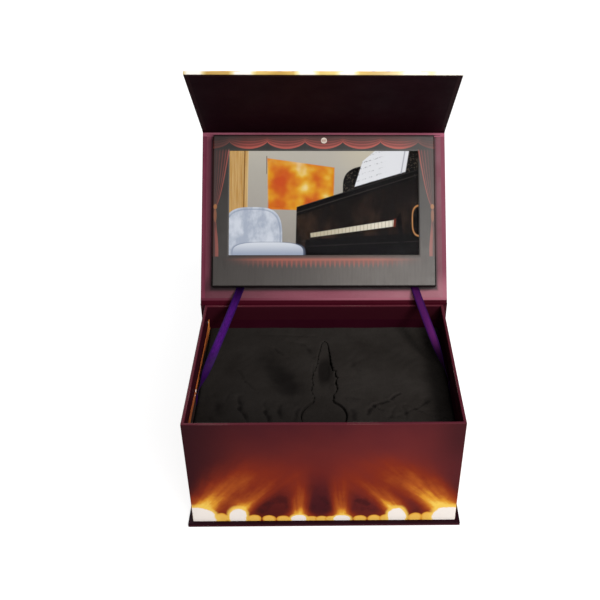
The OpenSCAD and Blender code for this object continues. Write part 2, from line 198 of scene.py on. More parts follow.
floor_grey = (0.38, 0.38, 0.38, 1.0)
floor_glow = 0.76
floor_paint, floor_shader, _ = blank("floor_paint", 0.9, Base_Color=floor_grey, Specular_IOR_Level=0.1,
                                     Emission_Color=white_light)
floor_rays = floor_shader.id_data.nodes.new("ShaderNodeLightPath").outputs
feed(floor_shader, "Emission Strength", Signal(floor_rays["Is Camera Ray"]) * floor_glow)
floor_mesh = bpy.data.meshes.new("floor")
reach = 6.0
floor_corners = [(-reach, -reach, 0), (reach, -reach, 0), (reach, reach, 0), (-reach, reach, 0)]
floor_mesh.from_pydata(floor_corners, [], [(0, 1, 2, 3)])
floor_mesh.materials.append(floor_paint)
floor = bpy.data.objects.new("floor", floor_mesh)
floor_drop = 0.3 * mm
floor.location.z = -floor_drop
bpy.context.collection.objects.link(floor)

# ---------- Printed wrap ----------
# The paper that covers the case: laminated art paper, printed with a warm row of stage
# lamps at its foot, whose beams fade upwards into deep maroon.


def fed(node, name):
    """The signal that already runs into a node's input."""
    return Signal(node.inputs[name].links[0].from_socket)


def wrap_map(shader):
    """Where a point lies on the piece's flat map."""
    return put(shader.id_data, "UVMap", uv_map="wrap")


def axes(place):
    """A place's three distances."""
    return [Signal(socket) for socket in add("SeparateXYZ", place).socket.node.outputs]


def joined(a, b, c):
    """A place from its three distances."""
    return add("CombineXYZ", a, b, c)


def scaled(value, factor, offset):
    """A value times a factor, plus an offset."""
    return sums("MULTIPLY_ADD", value, factor, offset)


def rest_of(value):
    """One less a value, never under nought."""
    return sums("SUBTRACT", 1.0, value, clamp=True)


def over(amount, under, top):
    """Lays one colour over another, by an amount from nothing to all."""
    return add("MixRGB", amount, under, top)


def even_run(value, start, end, low=0.0, high=1.0):
    """A straight run from low to high, while a value goes from start to end."""
    return add("MapRange", value, start, end, low, high)


def soft_step(value, start, end):
    """Nought below the start and one past the end, with a smooth rise between."""
    return add("MapRange", value, start, end, 0.0, 1.0, interpolation_type="SMOOTHSTEP")


def noise(place, scale, detail, rough):
    """Even, cloudy noise."""
    return add("TexNoise", place, None, scale, detail, rough)


def mottle(place, scale, low=0.0, high=1.0, detail=3.0):
    """A slow, cloudy value between low and high."""
    return even_run(noise(place, scale, detail, 0.55), 0.3, 0.7, low, high)


def bands(value, stops):
    """A colour ramp from places and colour codes."""
    ramp = add("ValToRGB", value)
    steps = ramp.socket.node.color_ramp.elements
    steps[0].position, steps[0].color = stops[0][0], ink(stops[0][1])
    steps[1].position, steps[1].color = stops[-1][0], ink(stops[-1][1])
    for place, code in stops[1:-1]:
        steps.new(place).color = ink(code)
    return ramp


def grain(shader, place, fine, height, coarse=0.0, coarse_height=0.0):
    """Bump from a fine noise and, where asked for, a second, wider one. Heights are in metres."""
    normal = add("Bump", 1.0, height, 1.0, noise(place, fine, 3.0, 0.6))
    if coarse:
        normal = add("Bump", 1.0, coarse_height, None, noise(place, coarse, 2.0, 0.5), normal)
    feed(shader, "Normal", normal)


# Each lamp: its place across, the height and half-width of its bulb, the slope of its top, and its
# beam's lean (across for each step up), length and strength. All in millimetres.
big_lamps = [
    (-91.0, 10.2, 10.5, -0.20, 0.72, 76, 1.12), (-64.0, 9.4, 6.4, 0.07, 0.80, 62, 1.00),
    (-19.0, 4.3, 5.8, 0.0, 0.05, 60, 0.98), (13.0, 3.9, 6.2, 0.0, -0.05, 60, 0.98),
    (54.0, 9.2, 6.6, -0.07, -0.74, 60, 1.00), (91.0, 9.8, 10.8, 0.05, -0.84, 80, 1.32),
]
small_lamps = [-76.5, -52.0, -41.0, -30.5, -9.5, -2.0, 5.5, 26.5, 37.0, 46.0, 67.5, 77.0]


def stage_print(across_m, up_m):
    """The printed picture, from the distance across and the height above its foot.
    Each beam is a wedge: bright where the distance from its leaning axis is small against
    a half-width that grows with height, and fading with height; a round glow sits on its bulb.
    Each bulb is a soft oval, cut off by the foot."""
    s = across_m * 1000.0
    h = up_m * 1000.0
    place = joined(s, h, 0.0)
    cloud = noise(place, 0.030, 2.0, 0.5)
    wisps = noise(place, 0.075, 3.0, 0.6)
    lifted = h / 98.0 + (cloud - 0.5) * 0.30
    colour = bands(lifted, [
        (0.0, "5a1c12"), (0.10, "4c1716"), (0.22, "541a18"), (0.40, "6b221b"), (0.55, "68221d"),
        (0.74, "5a2020"), (1.0, "47191f"),
    ])
    colour = over(soft_step(abs(s), 50.0, 106.0), colour, "35141a")
    colour = over(soft_step(s, -20.0, -97.0) * 0.36, colour, "1a0a10")
    colour = over(soft_step(s, -25.0, 60.0) * 0.15, colour, "8e3a3c")
    dim_corner = soft_step(s, 72.0, 98.0) * soft_step(h, 52.0, 86.0)
    colour = over(dim_corner * 0.5, colour, "2c1418")
    gap = soft_step(abs(s + 3.0), 13.0, 4.0)
    colour = over(gap * (soft_step(h, 66.0, 30.0) * 0.55), colour, "33121c")
    shade = soft_step(wisps, 0.46, 0.64) * 0.55
    low = soft_step(h, 5.0, 10.0) * soft_step(h, 50.0, 20.0)
    colour = over(shade * low, colour, "2c0f14")
    warm = 0.0
    for x, y, half, _, lean, length, strength in big_lamps:
        up = h - y
        axis = scaled(up, lean, x)
        foot_half = (0.62 + 0.16 * abs(lean)) * half
        spread = scaled(sums("MAXIMUM", up, 0.0), 0.12 + 0.24 * abs(lean), foot_half)
        off = (s - axis) / spread
        core = 2.0 ** (off * off * -1.25)
        fade = rest_of(up / float(length)) ** 1.8
        beam = core * fade * soft_step(up, -5.0, 2.0)
        along = joined(off * 1.5, scaled(up, 0.018, float(x)), 0.0)
        streaks = noise(along, 1.0, 3.0, 0.55)
        beam = beam * scaled(streaks, 1.5, 0.22)
        warm = scaled(beam, strength, warm)
        beside = (s - (x + 3.0 * lean)) / (0.8 * half + 3.0)
        above_it = (h - 1.2 * y) / (0.7 * y + 2.0)
        halo = 2.0 ** ((beside ** 2.0 + above_it ** 2.0) * -1.0)
        warm = scaled(halo, 0.48 * strength, warm)
    glow = rest_of(h / 11.0)
    warm = scaled(glow * glow, 0.34, warm)
    warm = warm * scaled(wisps, 0.9, 0.55)
    colour = over(soft_step(warm, 0.02, 0.34), colour, "7e2a16")
    colour = over(soft_step(warm, 0.22, 0.74), colour, "ab541e")
    colour = over(soft_step(warm, 0.60, 1.06), colour, "d9942e")
    colour = over(soft_step(warm, 1.00, 1.45), colour, "f0c858")
    ragged = noise(place, 0.16, 2.0, 0.5)
    for x in small_lamps:
        wide = (s - x) / 5.2
        rise = 1.0 + 0.8 * (x / 77.0) ** 2
        tall = (h - 1.7 * rise) / (3.3 * rise)
        ring = wide * wide + tall * tall + (ragged - 0.5) * 0.5
        colour = over(soft_step(ring, 1.20, 0.75), colour, "d8962f")
        colour = over(soft_step(ring, 0.95, 0.35), colour, "e6b654")
    for x, y, half, slope, *_ in big_lamps:
        wide = (s - x) / half
        level = scaled(s - x, -slope, h - 0.45 * y)
        tall = level / (0.98 * y)
        ring = abs(wide) ** 2.2 + abs(tall) ** 2.2 + (ragged - 0.5) * 0.9
        colour = over(soft_step(ring, 2.30, 0.95), colour, "efc65a")
        colour = over(soft_step(ring, 1.12, 0.80), colour, "efe8e2")
    return colour


def wrap_finish(name, foot=None, plain_code="3a121b"):
    """Laminated wrap. With a foot, the lamps stand on that height of the piece's UV map; the paper
    is a little paler along the rim, a painted highlight with a little wear where it is pulled over the edge."""
    mat, shader, place = blank(name, 0.45, Specular_IOR_Level=0.05)
    if foot is None:
        colour = over(mottle(place, 22.0, 0.0, 0.35), plain_code, "2f1015")
    else:
        run, up, _ = axes(wrap_map(shader))
        colour = stage_print(run, up - foot)
        # Painted highlight: a paler band along the rim, where the edge catches the light; past it the paper
        # turned down inside is darker.
        colour = over(soft_step(up, foot + 97.3 * mm, foot + 98.1 * mm), colour, "4c1d27")
        colour = over(soft_step(up, foot + 100.0 * mm, foot + 101.2 * mm), colour, "2c0a13")
    feed(shader, "Base Color", colour)
    feed(shader, "Roughness", mottle(place, 90.0, 0.38, 0.50))
    grain(shader, place, 1500.0, 0.00003, 45.0, 0.00025)
    return mat


def lay_grid(name, points, uv=None, loop_rows=False, loop_cols=False, keep=None, weld=2e-6, crease=38):
    """A mesh from a grid of points, rows by columns: one four-sided face between each point and its
    next neighbours, all as whole arrays. A looped direction joins its last line to its first. Points
    that lie together become one, which closes seams and poles."""
    rows, cols = points.shape[:2]
    r = np.arange(rows if loop_rows else rows - 1)
    c = np.arange(cols if loop_cols else cols - 1)
    rr, cc = np.meshgrid(r, c, indexing="ij")
    r1, c1 = (rr + 1) % rows, (cc + 1) % cols
    quads = np.stack([rr * cols + cc, r1 * cols + cc, r1 * cols + c1, rr * cols + c1], axis=-1)
    quads = quads.reshape(-1, 4)
    chosen = np.ones(len(quads), bool) if keep is None else keep.reshape(-1)
    mesh = bpy.data.meshes.new(name)
    mesh.from_pydata(points.reshape(-1, 3).tolist(), [], quads[chosen].tolist())
    if uv is not None:
        if uv.shape[:2] == (rows, cols):
            corners = uv.reshape(-1, 2)[quads]
        else:
            wide = uv.shape[1]
            corners = uv.reshape(-1, 2)[np.stack([
                rr * wide + cc, (rr + 1) * wide + cc, (rr + 1) * wide + cc + 1, rr * wide + cc + 1,
            ], axis=-1).reshape(-1, 4)]
        layer = mesh.uv_layers.new(name="wrap")
        layer.data.foreach_set("uv", corners[chosen].reshape(-1).astype(np.float32))
    return finish_mesh(name, mesh, weld, crease)


def capped(loop, both=False):
    """Draws a tube's first row in to its middle point and, where both ends show, its last row too."""
    rows = [loop[:1], loop[-1:]] if both else [loop[:1]]
    first, *last = [np.repeat(row.mean(axis=1, keepdims=True), loop.shape[1], axis=1) for row in rows]
    return np.concatenate([first, loop, *last])


def finish_mesh(name, mesh, weld=2e-6, crease=38):
    """Merges points that lie together, turns every face outwards, shades the mesh smooth up to a
    crease angle, and gives its object."""
    work = bmesh.new()
    work.from_mesh(mesh)
    bmesh.ops.remove_doubles(work, verts=work.verts, dist=weld)
    bmesh.ops.dissolve_degenerate(work, dist=weld / 2, edges=work.edges)
    bmesh.ops.recalc_face_normals(work, faces=work.faces)
    work.to_mesh(mesh)
    work.free()
    mesh.shade_smooth()
    mesh.set_sharp_from_angle(angle=math.radians(crease))
    piece = bpy.data.objects.new(name, mesh)
    bpy.context.collection.objects.link(piece)
    return piece


def fix(piece, mat, body, slot, *stands_for):
    """Gives a piece its finish, its body and the solids that it stands for. Its slot is not used."""
    piece.data.materials.clear()
    piece.data.materials.append(mat)
    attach(piece, body)
    if stands_for:
        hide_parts(*stands_for)


def ring_line(half_x, half_y, radius, inset=0.0, steps=6, along=5.0 * mm):
    """A rounded rectangle, set in by a distance, as one closed line that starts at the front left
    corner. Returns its points, outward directions and distance along each side from its middle."""
    counts = [max(2, int(2 * half / along)) for half in (half_x, half_y, half_x, half_y)]
    half_x, half_y = half_x - inset, half_y - inset
    turns = np.linspace(0, math.pi / 2, steps)
    points, normals, sides = [], [], []
    corners = [(-1, -1, math.pi), (1, -1, -math.pi / 2), (1, 1, 0.0), (-1, 1, math.pi / 2)]
    lengths = [half_x, half_y, half_x, half_y]
    for k, (sx, sy, start) in enumerate(corners):
        centre = np.array([sx * (half_x - radius), sy * (half_y - radius)])
        arc = np.stack([np.cos(start + turns), np.sin(start + turns)], axis=-1)
        points.append(centre + radius * arc)
        normals.append(arc)
        previous = lengths[k - 1]
        sides.append(np.where(np.arange(steps) < steps // 2, previous, -lengths[k]))
        count = counts[k]
        run = (np.arange(1, count) / count)[:, None]
        nx, ny, _ = corners[(k + 1) % 4]
        following = np.array([nx * (half_x - radius), ny * (half_y - radius)])
        out = arc[-1]
        points.append((centre + radius * out) * (1 - run) + (following + radius * out) * run)
        normals.append(np.repeat(out[None], count - 1, axis=0))
        sides.append(-lengths[k] + 2 * lengths[k] * run[:, 0])
    return np.concatenate(points), np.concatenate(normals), np.concatenate(sides)


case_w = 201.0 * mm
case_back = 70.5 * mm
base_front = -70.5 * mm
paper = 0.2 * mm
board = 2.5 * mm
skin = board + 2 * paper
wrap_maroon = wrap_finish("wrap_maroon")


def wrapped_board(name, half_x, half_y, low, high, place, corner=0.6 * mm, edge=0.45 * mm, flat_of=None):
    """A thin board in a close paper skin. Columns run round its rounded outline. Rows run from the
    middle of one face out to the edge, round it on two quarter circles, and back to the middle of the
    other face. place carries the points to the box, and flat_of gives the print's map."""
    outline, out, _ = ring_line(half_x, half_y, corner)
    turns = np.linspace(0, math.pi / 2, 6)
    round_in = edge * (1 - np.sin(turns))
    round_up = edge * (1 - np.cos(turns))
    inset = np.concatenate([round_in, round_in[::-1]])
    level = np.concatenate([low + round_up, high - round_up[::-1]])
    band = outline[None] - out[None] * inset[:, None, None]
    flats = np.array([0.0, 0.35, 0.7, 0.93])[:, None, None]
    first = band[0][None] * flats
    last = band[-1][None] * flats[::-1]
    plan = np.concatenate([first, band, last])
    heights = np.concatenate([np.full(4, low), level, np.full(4, high)])
    z = np.repeat(heights[:, None], plan.shape[1], axis=1)
    local = np.concatenate([plan, z[..., None]], axis=-1)
    flat = None if flat_of is None else flat_of(local)
    if flat is not None:
        flat = np.concatenate([flat, flat[:, :1]], axis=1)
    return lay_grid(name, place(local), uv=flat, loop_cols=True)


def hollow(piece, thickness=0.19 * mm):
    """Gives a closed skin its paper thickness, inwards."""
    shell = piece.modifiers.new("paper", "SOLIDIFY")
    shell.thickness = thickness
    shell.offset = -1.0


# ---------- Case base ----------
# A greyboard plate wrapped in the printed paper, which stands proud of the tray at the front
# and the sides.

base_half_y = (case_back - base_front) / 2
base_mid = (case_back + base_front) / 2
base_cover = wrapped_board(
    "base_cover", case_w / 2, base_half_y, 0.0, skin,
    lambda p: p + np.array([0.0, base_mid, 0.0]),
)
hollow(base_cover)
wrap_base = wrap_finish("wrap_base")
base_shader = wrap_base.node_tree.nodes["Principled BSDF"]
base_x, _, base_z = axes(place_in(base_shader))
base_tint = fed(base_shader, "Base Color")
# Painted light on the base: its front face is paler towards its foot and towards the right, where the light
# falls, and the ledge beside the tray carries a painted shadow.
foot_sheen = soft_step(base_z, 1.7 * mm, 0.1 * mm) * soft_step(base_x, -110 * mm, 70 * mm)
base_tint = over(foot_sheen * 0.55, base_tint, "6e3440")
shaded_ledge = soft_step(base_z, 1.7 * mm, 2.7 * mm)
base_tint = over(shaded_ledge * 0.85, base_tint, "12030a")
feed(base_shader, "Base Color", base_tint)
fix(base_cover, wrap_base, "base", "printed_wrap", "base_wrap")

# ---------- Spine ----------
# The upright back plate of the case, glued to the back of the tray.

rim_z = 100.7 * mm
spine_back = 73.2 * mm
spine_cover = wrapped_board(
    "spine_cover", case_w / 2, rim_z / 2, -0.12 * mm, spine_back - case_back,
    lambda p: np.stack([p[..., 0], case_back + p[..., 2], rim_z / 2 + p[..., 1]], axis=-1),
)
hollow(spine_cover)
fix(spine_cover, wrap_maroon, "base", "printed_wrap", "spine_wrap")

# ---------- Tray ----------
# Four greyboard walls in one printed wrap, pasted round the outside, pulled over the rim and
# turned down inside; darker paper lines the rest of the inside.

base_top = 2.7 * mm
tray_half_x = 97.0 * mm
tray_front = -67.5 * mm
tray_half_y = (case_back - tray_front) / 2
tray_mid = (case_back + tray_front) / 2
lip = 2.2 * mm
turn_in = 14.0 * mm


def tray_band(name, offsets, heights):
    """Carries a profile, given as distances in from the outline and heights, round the tray. The
    outline's corner radius shrinks as the profile goes in. The paper waves a little on the long walls."""
    rings, uvs = [], []
    for inset, height in zip(offsets, heights):
        radius = max(0.65 * mm - inset, 0.25 * mm)
        outline, _, side = ring_line(tray_half_x, tray_half_y, radius, inset)
        grow = min(1.0, max(0.0, height / rim_z))
        wave = 0.10 * mm * np.sin(outline[:, 0] * 61 + outline[:, 1] * 47) * grow
        z = np.full(len(outline), height) + (wave if height > rim_z - 1.2 * mm else 0.0)
        rings.append(np.column_stack([outline[:, 0], outline[:, 1] + tray_mid, z]))
        uvs.append(np.column_stack([side, np.full(len(side), height)]))
    points = np.array(rings)
    flat = np.array(uvs)
    travel = np.cumsum(np.hypot(np.diff(offsets, prepend=offsets[0]), np.diff(heights, prepend=heights[0])))
    flat[..., 1] = (travel + heights[0])[:, None]
    flat = np.concatenate([flat, flat[:, :1]], axis=1)
    flat = np.concatenate([flat, flat[:1]], axis=0)
    return lay_grid(name, points, uv=flat, loop_rows=True, loop_cols=True)


rim_turn = np.linspace(0, math.pi / 2, 5)
rim_r = 0.55 * mm
cover_in = np.concatenate([
    [0.0, 0.0, 0.0, 0.0, 0.0, 0.0], rim_r * (1 - np.cos(rim_turn)), [lip / 2],
    lip - rim_r * (1 - np.cos(rim_turn[::-1])), [lip, lip],
    [lip - paper, lip - paper, paper, paper],
])
cover_up = np.concatenate([
    np.linspace(base_top + paper, rim_z - rim_r - 1 * mm, 6), rim_z - rim_r + rim_r * np.sin(rim_turn),
    [rim_z], rim_z - rim_r + rim_r * np.sin(rim_turn[::-1]), [rim_z - 6 * mm, rim_z - turn_in],
    [rim_z - turn_in, rim_z - 0.5 * mm, rim_z - 0.5 * mm, base_top + paper],
])
tray_cover = tray_band("tray_cover", cover_in, cover_up)
wrap_print = wrap_finish("wrap_print", foot=base_top + paper)
fix(tray_cover, wrap_print, "base", "printed_wrap", "tray_wrap")


def plum_finish(name, dark, light, edge_code, rough, gloss):
    """Dyed lining paper: a cloudy tint, a fine felt grain and a low sheen."""
    mat, shader, place = blank(name, rough, Specular_IOR_Level=gloss)
    fibre = noise(place, 950.0, 4.0, 0.65)
    colour = over(mottle(place, 28.0), dark, light)
    colour = over(soft_step(fibre, 0.45, 0.75) * 0.35, colour, edge_code)
    feed(shader, "Base Color", colour)
    feed(shader, "Roughness", mottle(place, 60.0, rough - 0.05, rough + 0.07))
    grain(shader, place, 1300.0, 0.00004, 70.0, 0.0002)
    return mat


lining_in = np.array([lip - 0.02 * mm, lip - 0.02 * mm, lip - paper, lip - paper])
lining_up = np.array([4.6 * mm, rim_z - turn_in, rim_z - turn_in, 4.6 * mm])
tray_inside = tray_band("tray_inside", lining_in, lining_up)
lining_maroon = plum_finish("lining_maroon", "23030e", "2a0613", "320a19", 0.55, 0.04)
fix(tray_inside, lining_maroon, "base", "maroon_paper", "tray_lining")

# ---------- Foam ----------
# Black polyether foam in two sheets. The upper one is die cut with a small figure-shaped pocket
# whose plug is still in place, and its skin is creased and dented from handling.

foam_z = 77.3 * mm
cut_z = 52.3 * mm
foam_left, foam_right = -93.8 * mm, 94.3 * mm
foam_front, foam_back = -64.8 * mm, 67.8 * mm
pocket_y = -34.3 * mm
bulb_r = 17.0 * mm
spire = 86.0 * mm
plug_drop = 2.0 * mm
kerf = 0.5 * mm

# The pocket's two torn edges: distances behind its round end's centre and half-widths, in millimetres.
left_edge = [(14.7, 8.5), (16.0, 7.2), (18.4, 8.5), (20.6, 7.2), (23.9, 9.0), (29.5, 10.0), (33.0, 9.1),
             (36.3, 8.8), (40.9, 9.9), (45.0, 9.0), (49.0, 8.7), (51.0, 7.6), (53.8, 6.8), (59.8, 5.7),
             (70.9, 4.6), (83.6, 2.2), (86.0, 0.8), (86.4, 0.0)]
right_edge = [(14.7, 8.5), (16.2, 6.6), (19.4, 8.2), (22.1, 7.2), (24.9, 9.2), (29.3, 10.6), (33.5, 10.0),
              (37.3, 9.3), (41.9, 10.8), (43.8, 9.8), (45.4, 8.8), (48.9, 9.5), (51.9, 7.2), (61.0, 5.7),
              (70.8, 4.8), (83.6, 2.9), (86.0, 0.9), (86.4, 0.0)]


def pocket_half(y, side):
    """The pocket's width on one side at a distance behind its round end's centre: a circle, then
    straight runs between the torn edge's points, with a fine wobble; nought outside the pocket."""
    circle = np.sqrt(np.clip(bulb_r ** 2 - y ** 2, 0, None))
    knots = np.array(left_edge if side < 0 else right_edge) * mm
    run = np.interp(y, knots[:, 0], knots[:, 1], right=0.0)
    torn = (0.30 * mm * np.sin(y * 2300 + side) * np.sin(y * 890 + 1) + 0.35 * mm
            * np.sin(y * 1500 + 2 * side) * (y > 24 * mm) * (y < 52 * mm))
    run = run + torn * (run > 2 * mm)
    return np.where(y < knots[0, 0], np.where(y < -bulb_r, 0.0, circle), run)


# Creases: two ends, half-width and depth, in millimetres across, back from the middle and down.
creases = [(-67, 17, -60, 3, 1.0, 0.45), (-60, 3, -50, -9, 1.1, 0.55), (-63, -14, -62, -26, 2.2, 1.5),
           (-62, -26, -55, -40, 1.7, 1.7), (-79, -19, -77, -31, 2.8, 1.0), (-83, -10, -81, -14, 1.8, 0.7),
           (-44, -20, -43, -30, 1.6, 1.0), (-43, -30, -39, -41, 1.8, 1.6), (-33, -24, -32, -36, 2.2, 1.1),
           (56, -11, 47, -19, 1.1, 1.3), (47, -19, 36, -24, 1.1, 1.4), (36, -24, 31, -33, 1.5, 1.3),
           (36, -24, 42, -29, 1.0, 1.2), (60, -23, 80, -36, 1.2, 0.9), (54, -35, 68, -27, 1.1, 0.6),
           (66, -28, 80, -18, 1.1, 0.6), (76, -17, 74, -22, 2.6, 0.9), (70, -30, 88, -29, 0.9, 0.7),
           (44, -36, 56, -36, 2.0, 0.8), (58, -24, 60, -38, 1.2, 0.8), (47, -37, 52, -26, 1.2, 0.6),
           (-29, 52, -17, 48, 2.4, 0.5), (-17, 48, -8, 33, 3.2, 1.1), (22, 28, 24, 18, 3.6, 0.7),
           (16, -15, 28, -17, 2.4, 0.7), (-40, 43, -34, 36, 1.2, 0.6), (-47, 29, -27, -2, 10.5, 0.80),
           (-31, 4, -24, -16, 11.5, 0.86), (-19, -27, -22, -40, 1.4, 0.9), (-52, 60, -8, 58, 1.0, 0.45),
           (-72, 34, -64, 44, 3.6, 0.3), (-70, -8, -74, -20, 1.0, 0.5), (-86, -34, -80, -40, 1.2, 0.6),
           (21, -28, 22, -38, 1.8, 0.7), (-9, 22, -9, 8, 1.0, 0.7)]


def foam_lift(x, y):
    """The skin's height above its flat level: slow swells, a sink round each crease that falls off
    with the square of the distance to it, a raised lip beside it, a pull down at the front and side
    edges, and a swell at the back, where the sheet is pressed against the wall."""
    lift = 0.30 * mm * np.sin(x * 52 + 1.3) * np.sin(y * 47 + 0.4) + 0.15 * mm * np.sin(x * 131 + y * 97)
    lift = lift + 0.10 * mm * np.sin(x * 310 + 4 * np.sin(y * 120)) * np.sin(y * 270 + 3 * np.sin(x * 150))
    for x0, y0, x1, y1, half, depth in creases:
        a = np.array([x0, y0]) * mm
        run = np.array([x1, y1]) * mm - a
        t = np.clip(((x - a[0]) * run[0] + (y - a[1]) * run[1]) / (run @ run), 0, 1)
        wander = 0.5 * mm * np.sin(t * 7 + x0)
        away = np.hypot(x - a[0] - t * run[0] + wander, y - a[1] - t * run[1])
        ends = 0.55 + 0.45 * np.sin(math.pi * np.clip(t, 0.1, 0.9))
        lift = lift - 0.88 * ends * depth * mm * np.exp(-(away / (half * mm)) ** 2)
        lift = lift + 0.12 * depth * mm * np.exp(-((away - 2.1 * half * mm) / (half * mm)) ** 2)
    rim = np.minimum(np.minimum(x - foam_left, foam_right - x), y - foam_front)
    swell = 1.2 * mm * np.exp(-np.clip(foam_back - y, 0, None) / (8 * mm))
    return np.minimum(lift, 0.4 * mm) - 1.1 * mm * np.exp(-np.clip(rim, 0, None) / (1.1 * mm)) + swell


pocket_rows = pocket_y + np.concatenate([
    -bulb_r * np.cos(np.linspace(0, math.pi * 0.83, 44)),
    np.arange(bulb_r, spire + 0.5 * mm, 0.7 * mm),
])
pocket_rows = np.unique(np.round(pocket_rows, 7))
rows_y = np.concatenate([
    np.linspace(foam_front, pocket_y - bulb_r - 0.6 * mm, 12), pocket_rows,
    np.linspace(pocket_y + spire + 1.0 * mm, foam_back, 14),
])
spread = np.concatenate([np.array([0.0, 0.004, 0.008, 0.013]), np.linspace(0.02, 0.985, 122), [0.994, 1.0]])


def foam_half(side, edge_x, half_at):
    """One half of the cut sheet. Each row runs from the pocket's edge straight out to the sheet's
    side and back underneath, so the rows together are a closed block with the pocket's wall."""
    x = half_at[:, None] + (abs(edge_x) - half_at[:, None]) * spread[None]
    y = np.repeat(rows_y[:, None], len(spread), axis=1)
    near = np.exp(-(x - half_at[:, None]) / (0.5 * mm)) * (half_at[:, None] > 0)
    top = foam_z + foam_lift(side * x, y) - 0.5 * mm * near
    upper = np.stack([side * x, y, top], axis=-1)
    lower = np.stack([side * x, y, np.full_like(x, cut_z)], axis=-1)[:, [-1, 0]]
    return np.concatenate([upper, lower], axis=1)


def foam_block(name):
    """Joins both halves, leaves out the wall between them where there is no pocket, and closes the ends."""
    meshes, faces, start = [], [], 0
    for side, edge_x in ((-1, foam_left), (1, foam_right)):
        half_at = np.clip(pocket_half(rows_y - pocket_y, side), 0, None)
        half = foam_half(side, edge_x, half_at)
        rows, cols = half.shape[:2]
        rr, cc = np.meshgrid(np.arange(rows - 1), np.arange(cols), indexing="ij")
        c1 = (cc + 1) % cols
        quads = np.stack([
            rr * cols + cc, (rr + 1) * cols + cc, (rr + 1) * cols + c1, rr * cols + c1,
        ], axis=-1)
        inner_wall = (cc == cols - 1) & (half_at[rr] <= 0) & (half_at[rr + 1] <= 0)
        faces += (quads[~inner_wall] + start).tolist()
        faces += [(r * cols + np.arange(cols) + start).tolist() for r in (0, rows - 1)]
        meshes.append(half.reshape(-1, 3))
        start += rows * cols
    mesh = bpy.data.meshes.new(name)
    mesh.from_pydata(np.concatenate(meshes).tolist(), [], faces)
    return finish_mesh(name, mesh, weld=3e-6, crease=50)


foam_black, foam_shader, foam_place = blank("foam_black", 0.95, Specular_IOR_Level=0.03)
foam_tone = mottle(foam_place, 34.0, detail=4.0)
foam_base = over(foam_tone, "211e1c", "2a2725")
pores = add("TexVoronoi", foam_place, None, 1400.0)
foam_base = over(soft_step(pores, 0.0, 0.35), "0e0d0c", foam_base)
sunk = put(foam_shader.id_data, "Attribute", out=2, attribute_name="sunk")
# Painted shade: the skin is darker where it lies below its level, in its dents and creases.
foam_base = over(soft_step(sunk, 0.10, 1.1) * 0.70, foam_base, "0c0a0a")
foam_x, foam_y, _ = axes(foam_place)
# The foam is darker towards the left and towards the front left.
darker_left = soft_step(foam_x, 15 * mm, -75 * mm) * 0.26
darker_front_left = soft_step(foam_x, 45 * mm, -5 * mm) * (soft_step(foam_y, 25 * mm, -35 * mm) * 0.26)
foam_base = over(darker_left + darker_front_left, foam_base, "050404")
feed(foam_shader, "Base Color", foam_base)
grain(foam_shader, foam_place, 1300.0, 0.00018, 160.0, 0.0005)

foam_sheet = foam_block("foam_sheet")
fix(foam_sheet, foam_black, "base", "foam", "foam_top")


def mark_dents(piece, level):
    """Stores how far each point of the skin lies below its level, in millimetres, for the finish, which
    paints shade into the dents with it.
    """
    mesh = piece.data
    places = np.empty(len(mesh.vertices) * 3, np.float32)
    mesh.vertices.foreach_get("co", places)
    z = places[2::3]
    sunk = np.where(z > level - 8 * mm, (level - z) / mm, 0.0)
    mesh.attributes.new("sunk", "FLOAT", "POINT").data.foreach_set("value", sunk.astype(np.float32))


mark_dents(foam_sheet, foam_z)


def foam_insert(name):
    """The plug: each row runs from its left edge across its slightly pillowed top to its right edge.
    Rows narrow to a point at both ends, and the loop goes back underneath."""
    in_pocket = (pocket_rows > pocket_y - bulb_r + kerf) & (pocket_rows < pocket_y + spire - 0.2 * mm)
    rows = pocket_rows[in_pocket]
    slack = kerf * np.clip((pocket_y + spire - rows) / (9 * mm), 0.15, 1)
    tight = np.interp(rows, [pocket_y + 8 * mm, pocket_y + 20 * mm], [0.8, 0.42])
    along_spire = np.interp(rows - pocket_y, [26 * mm, 32 * mm, 62 * mm, 70 * mm], [0.0, 1.0, 1.0, 0.0])
    tight = tight + along_spire * np.clip(np.sin(rows / (0.8 * mm)), -0.3, 1) * 0.9
    loose = 1.0 + along_spire * (0.75 + 0.45 * np.sin(rows / (1.3 * mm)))
    left, right = [np.clip(pocket_half(rows - pocket_y, side) - slack * part, 0.02 * mm, None)
                   for side, part in ((-1, tight), (1, loose))]
    across_t = np.concatenate([[0, 0.015, 0.05], np.linspace(0.1, 0.9, 17), [0.95, 0.985, 1]])
    x = -left[:, None] + (left + right)[:, None] * across_t[None]
    y = np.repeat(rows[:, None], len(across_t), axis=1)
    edge = np.clip(np.minimum(x + left[:, None], right[:, None] - x) / (0.9 * mm), 0, 1)
    sink = 3.0 * mm * np.exp(-(x / (6.2 * mm)) ** 4 - ((y - 20 * mm) / (23 * mm)) ** 2)
    drop = plug_drop * np.interp(y - pocket_y, [12 * mm, 30 * mm, 62 * mm, spire], [1.0, 0.62, 0.25, 0.12])
    z = foam_z - drop + 0.7 * foam_lift(x, y) - 0.7 * mm * (1 - edge) ** 2 - sink
    upper = np.stack([x, y, z], axis=-1)
    lower = np.stack([x, y, np.full_like(x, cut_z + 0.05 * mm)], axis=-1)
    loop = np.concatenate([upper, lower[:, ::-1]], axis=1)
    return lay_grid(name, capped(loop, both=True), loop_cols=True, crease=50)


foam_plug = foam_insert("foam_insert")
fix(foam_plug, foam_black, "base", "foam", "foam_plug")
mark_dents(foam_plug, foam_z - plug_drop)


def refinish(mat, *names):
    """Gives solids that keep their shape a better material."""
    for name in names:
        nodes[name].data.materials.clear()
        nodes[name].data.materials.append(mat)


refinish(foam_black, "foam_base")

# ---------- Greyboard and magnets ----------
# The boards inside the wraps are grey recycled pulp board; the closing magnets are nickel plated.

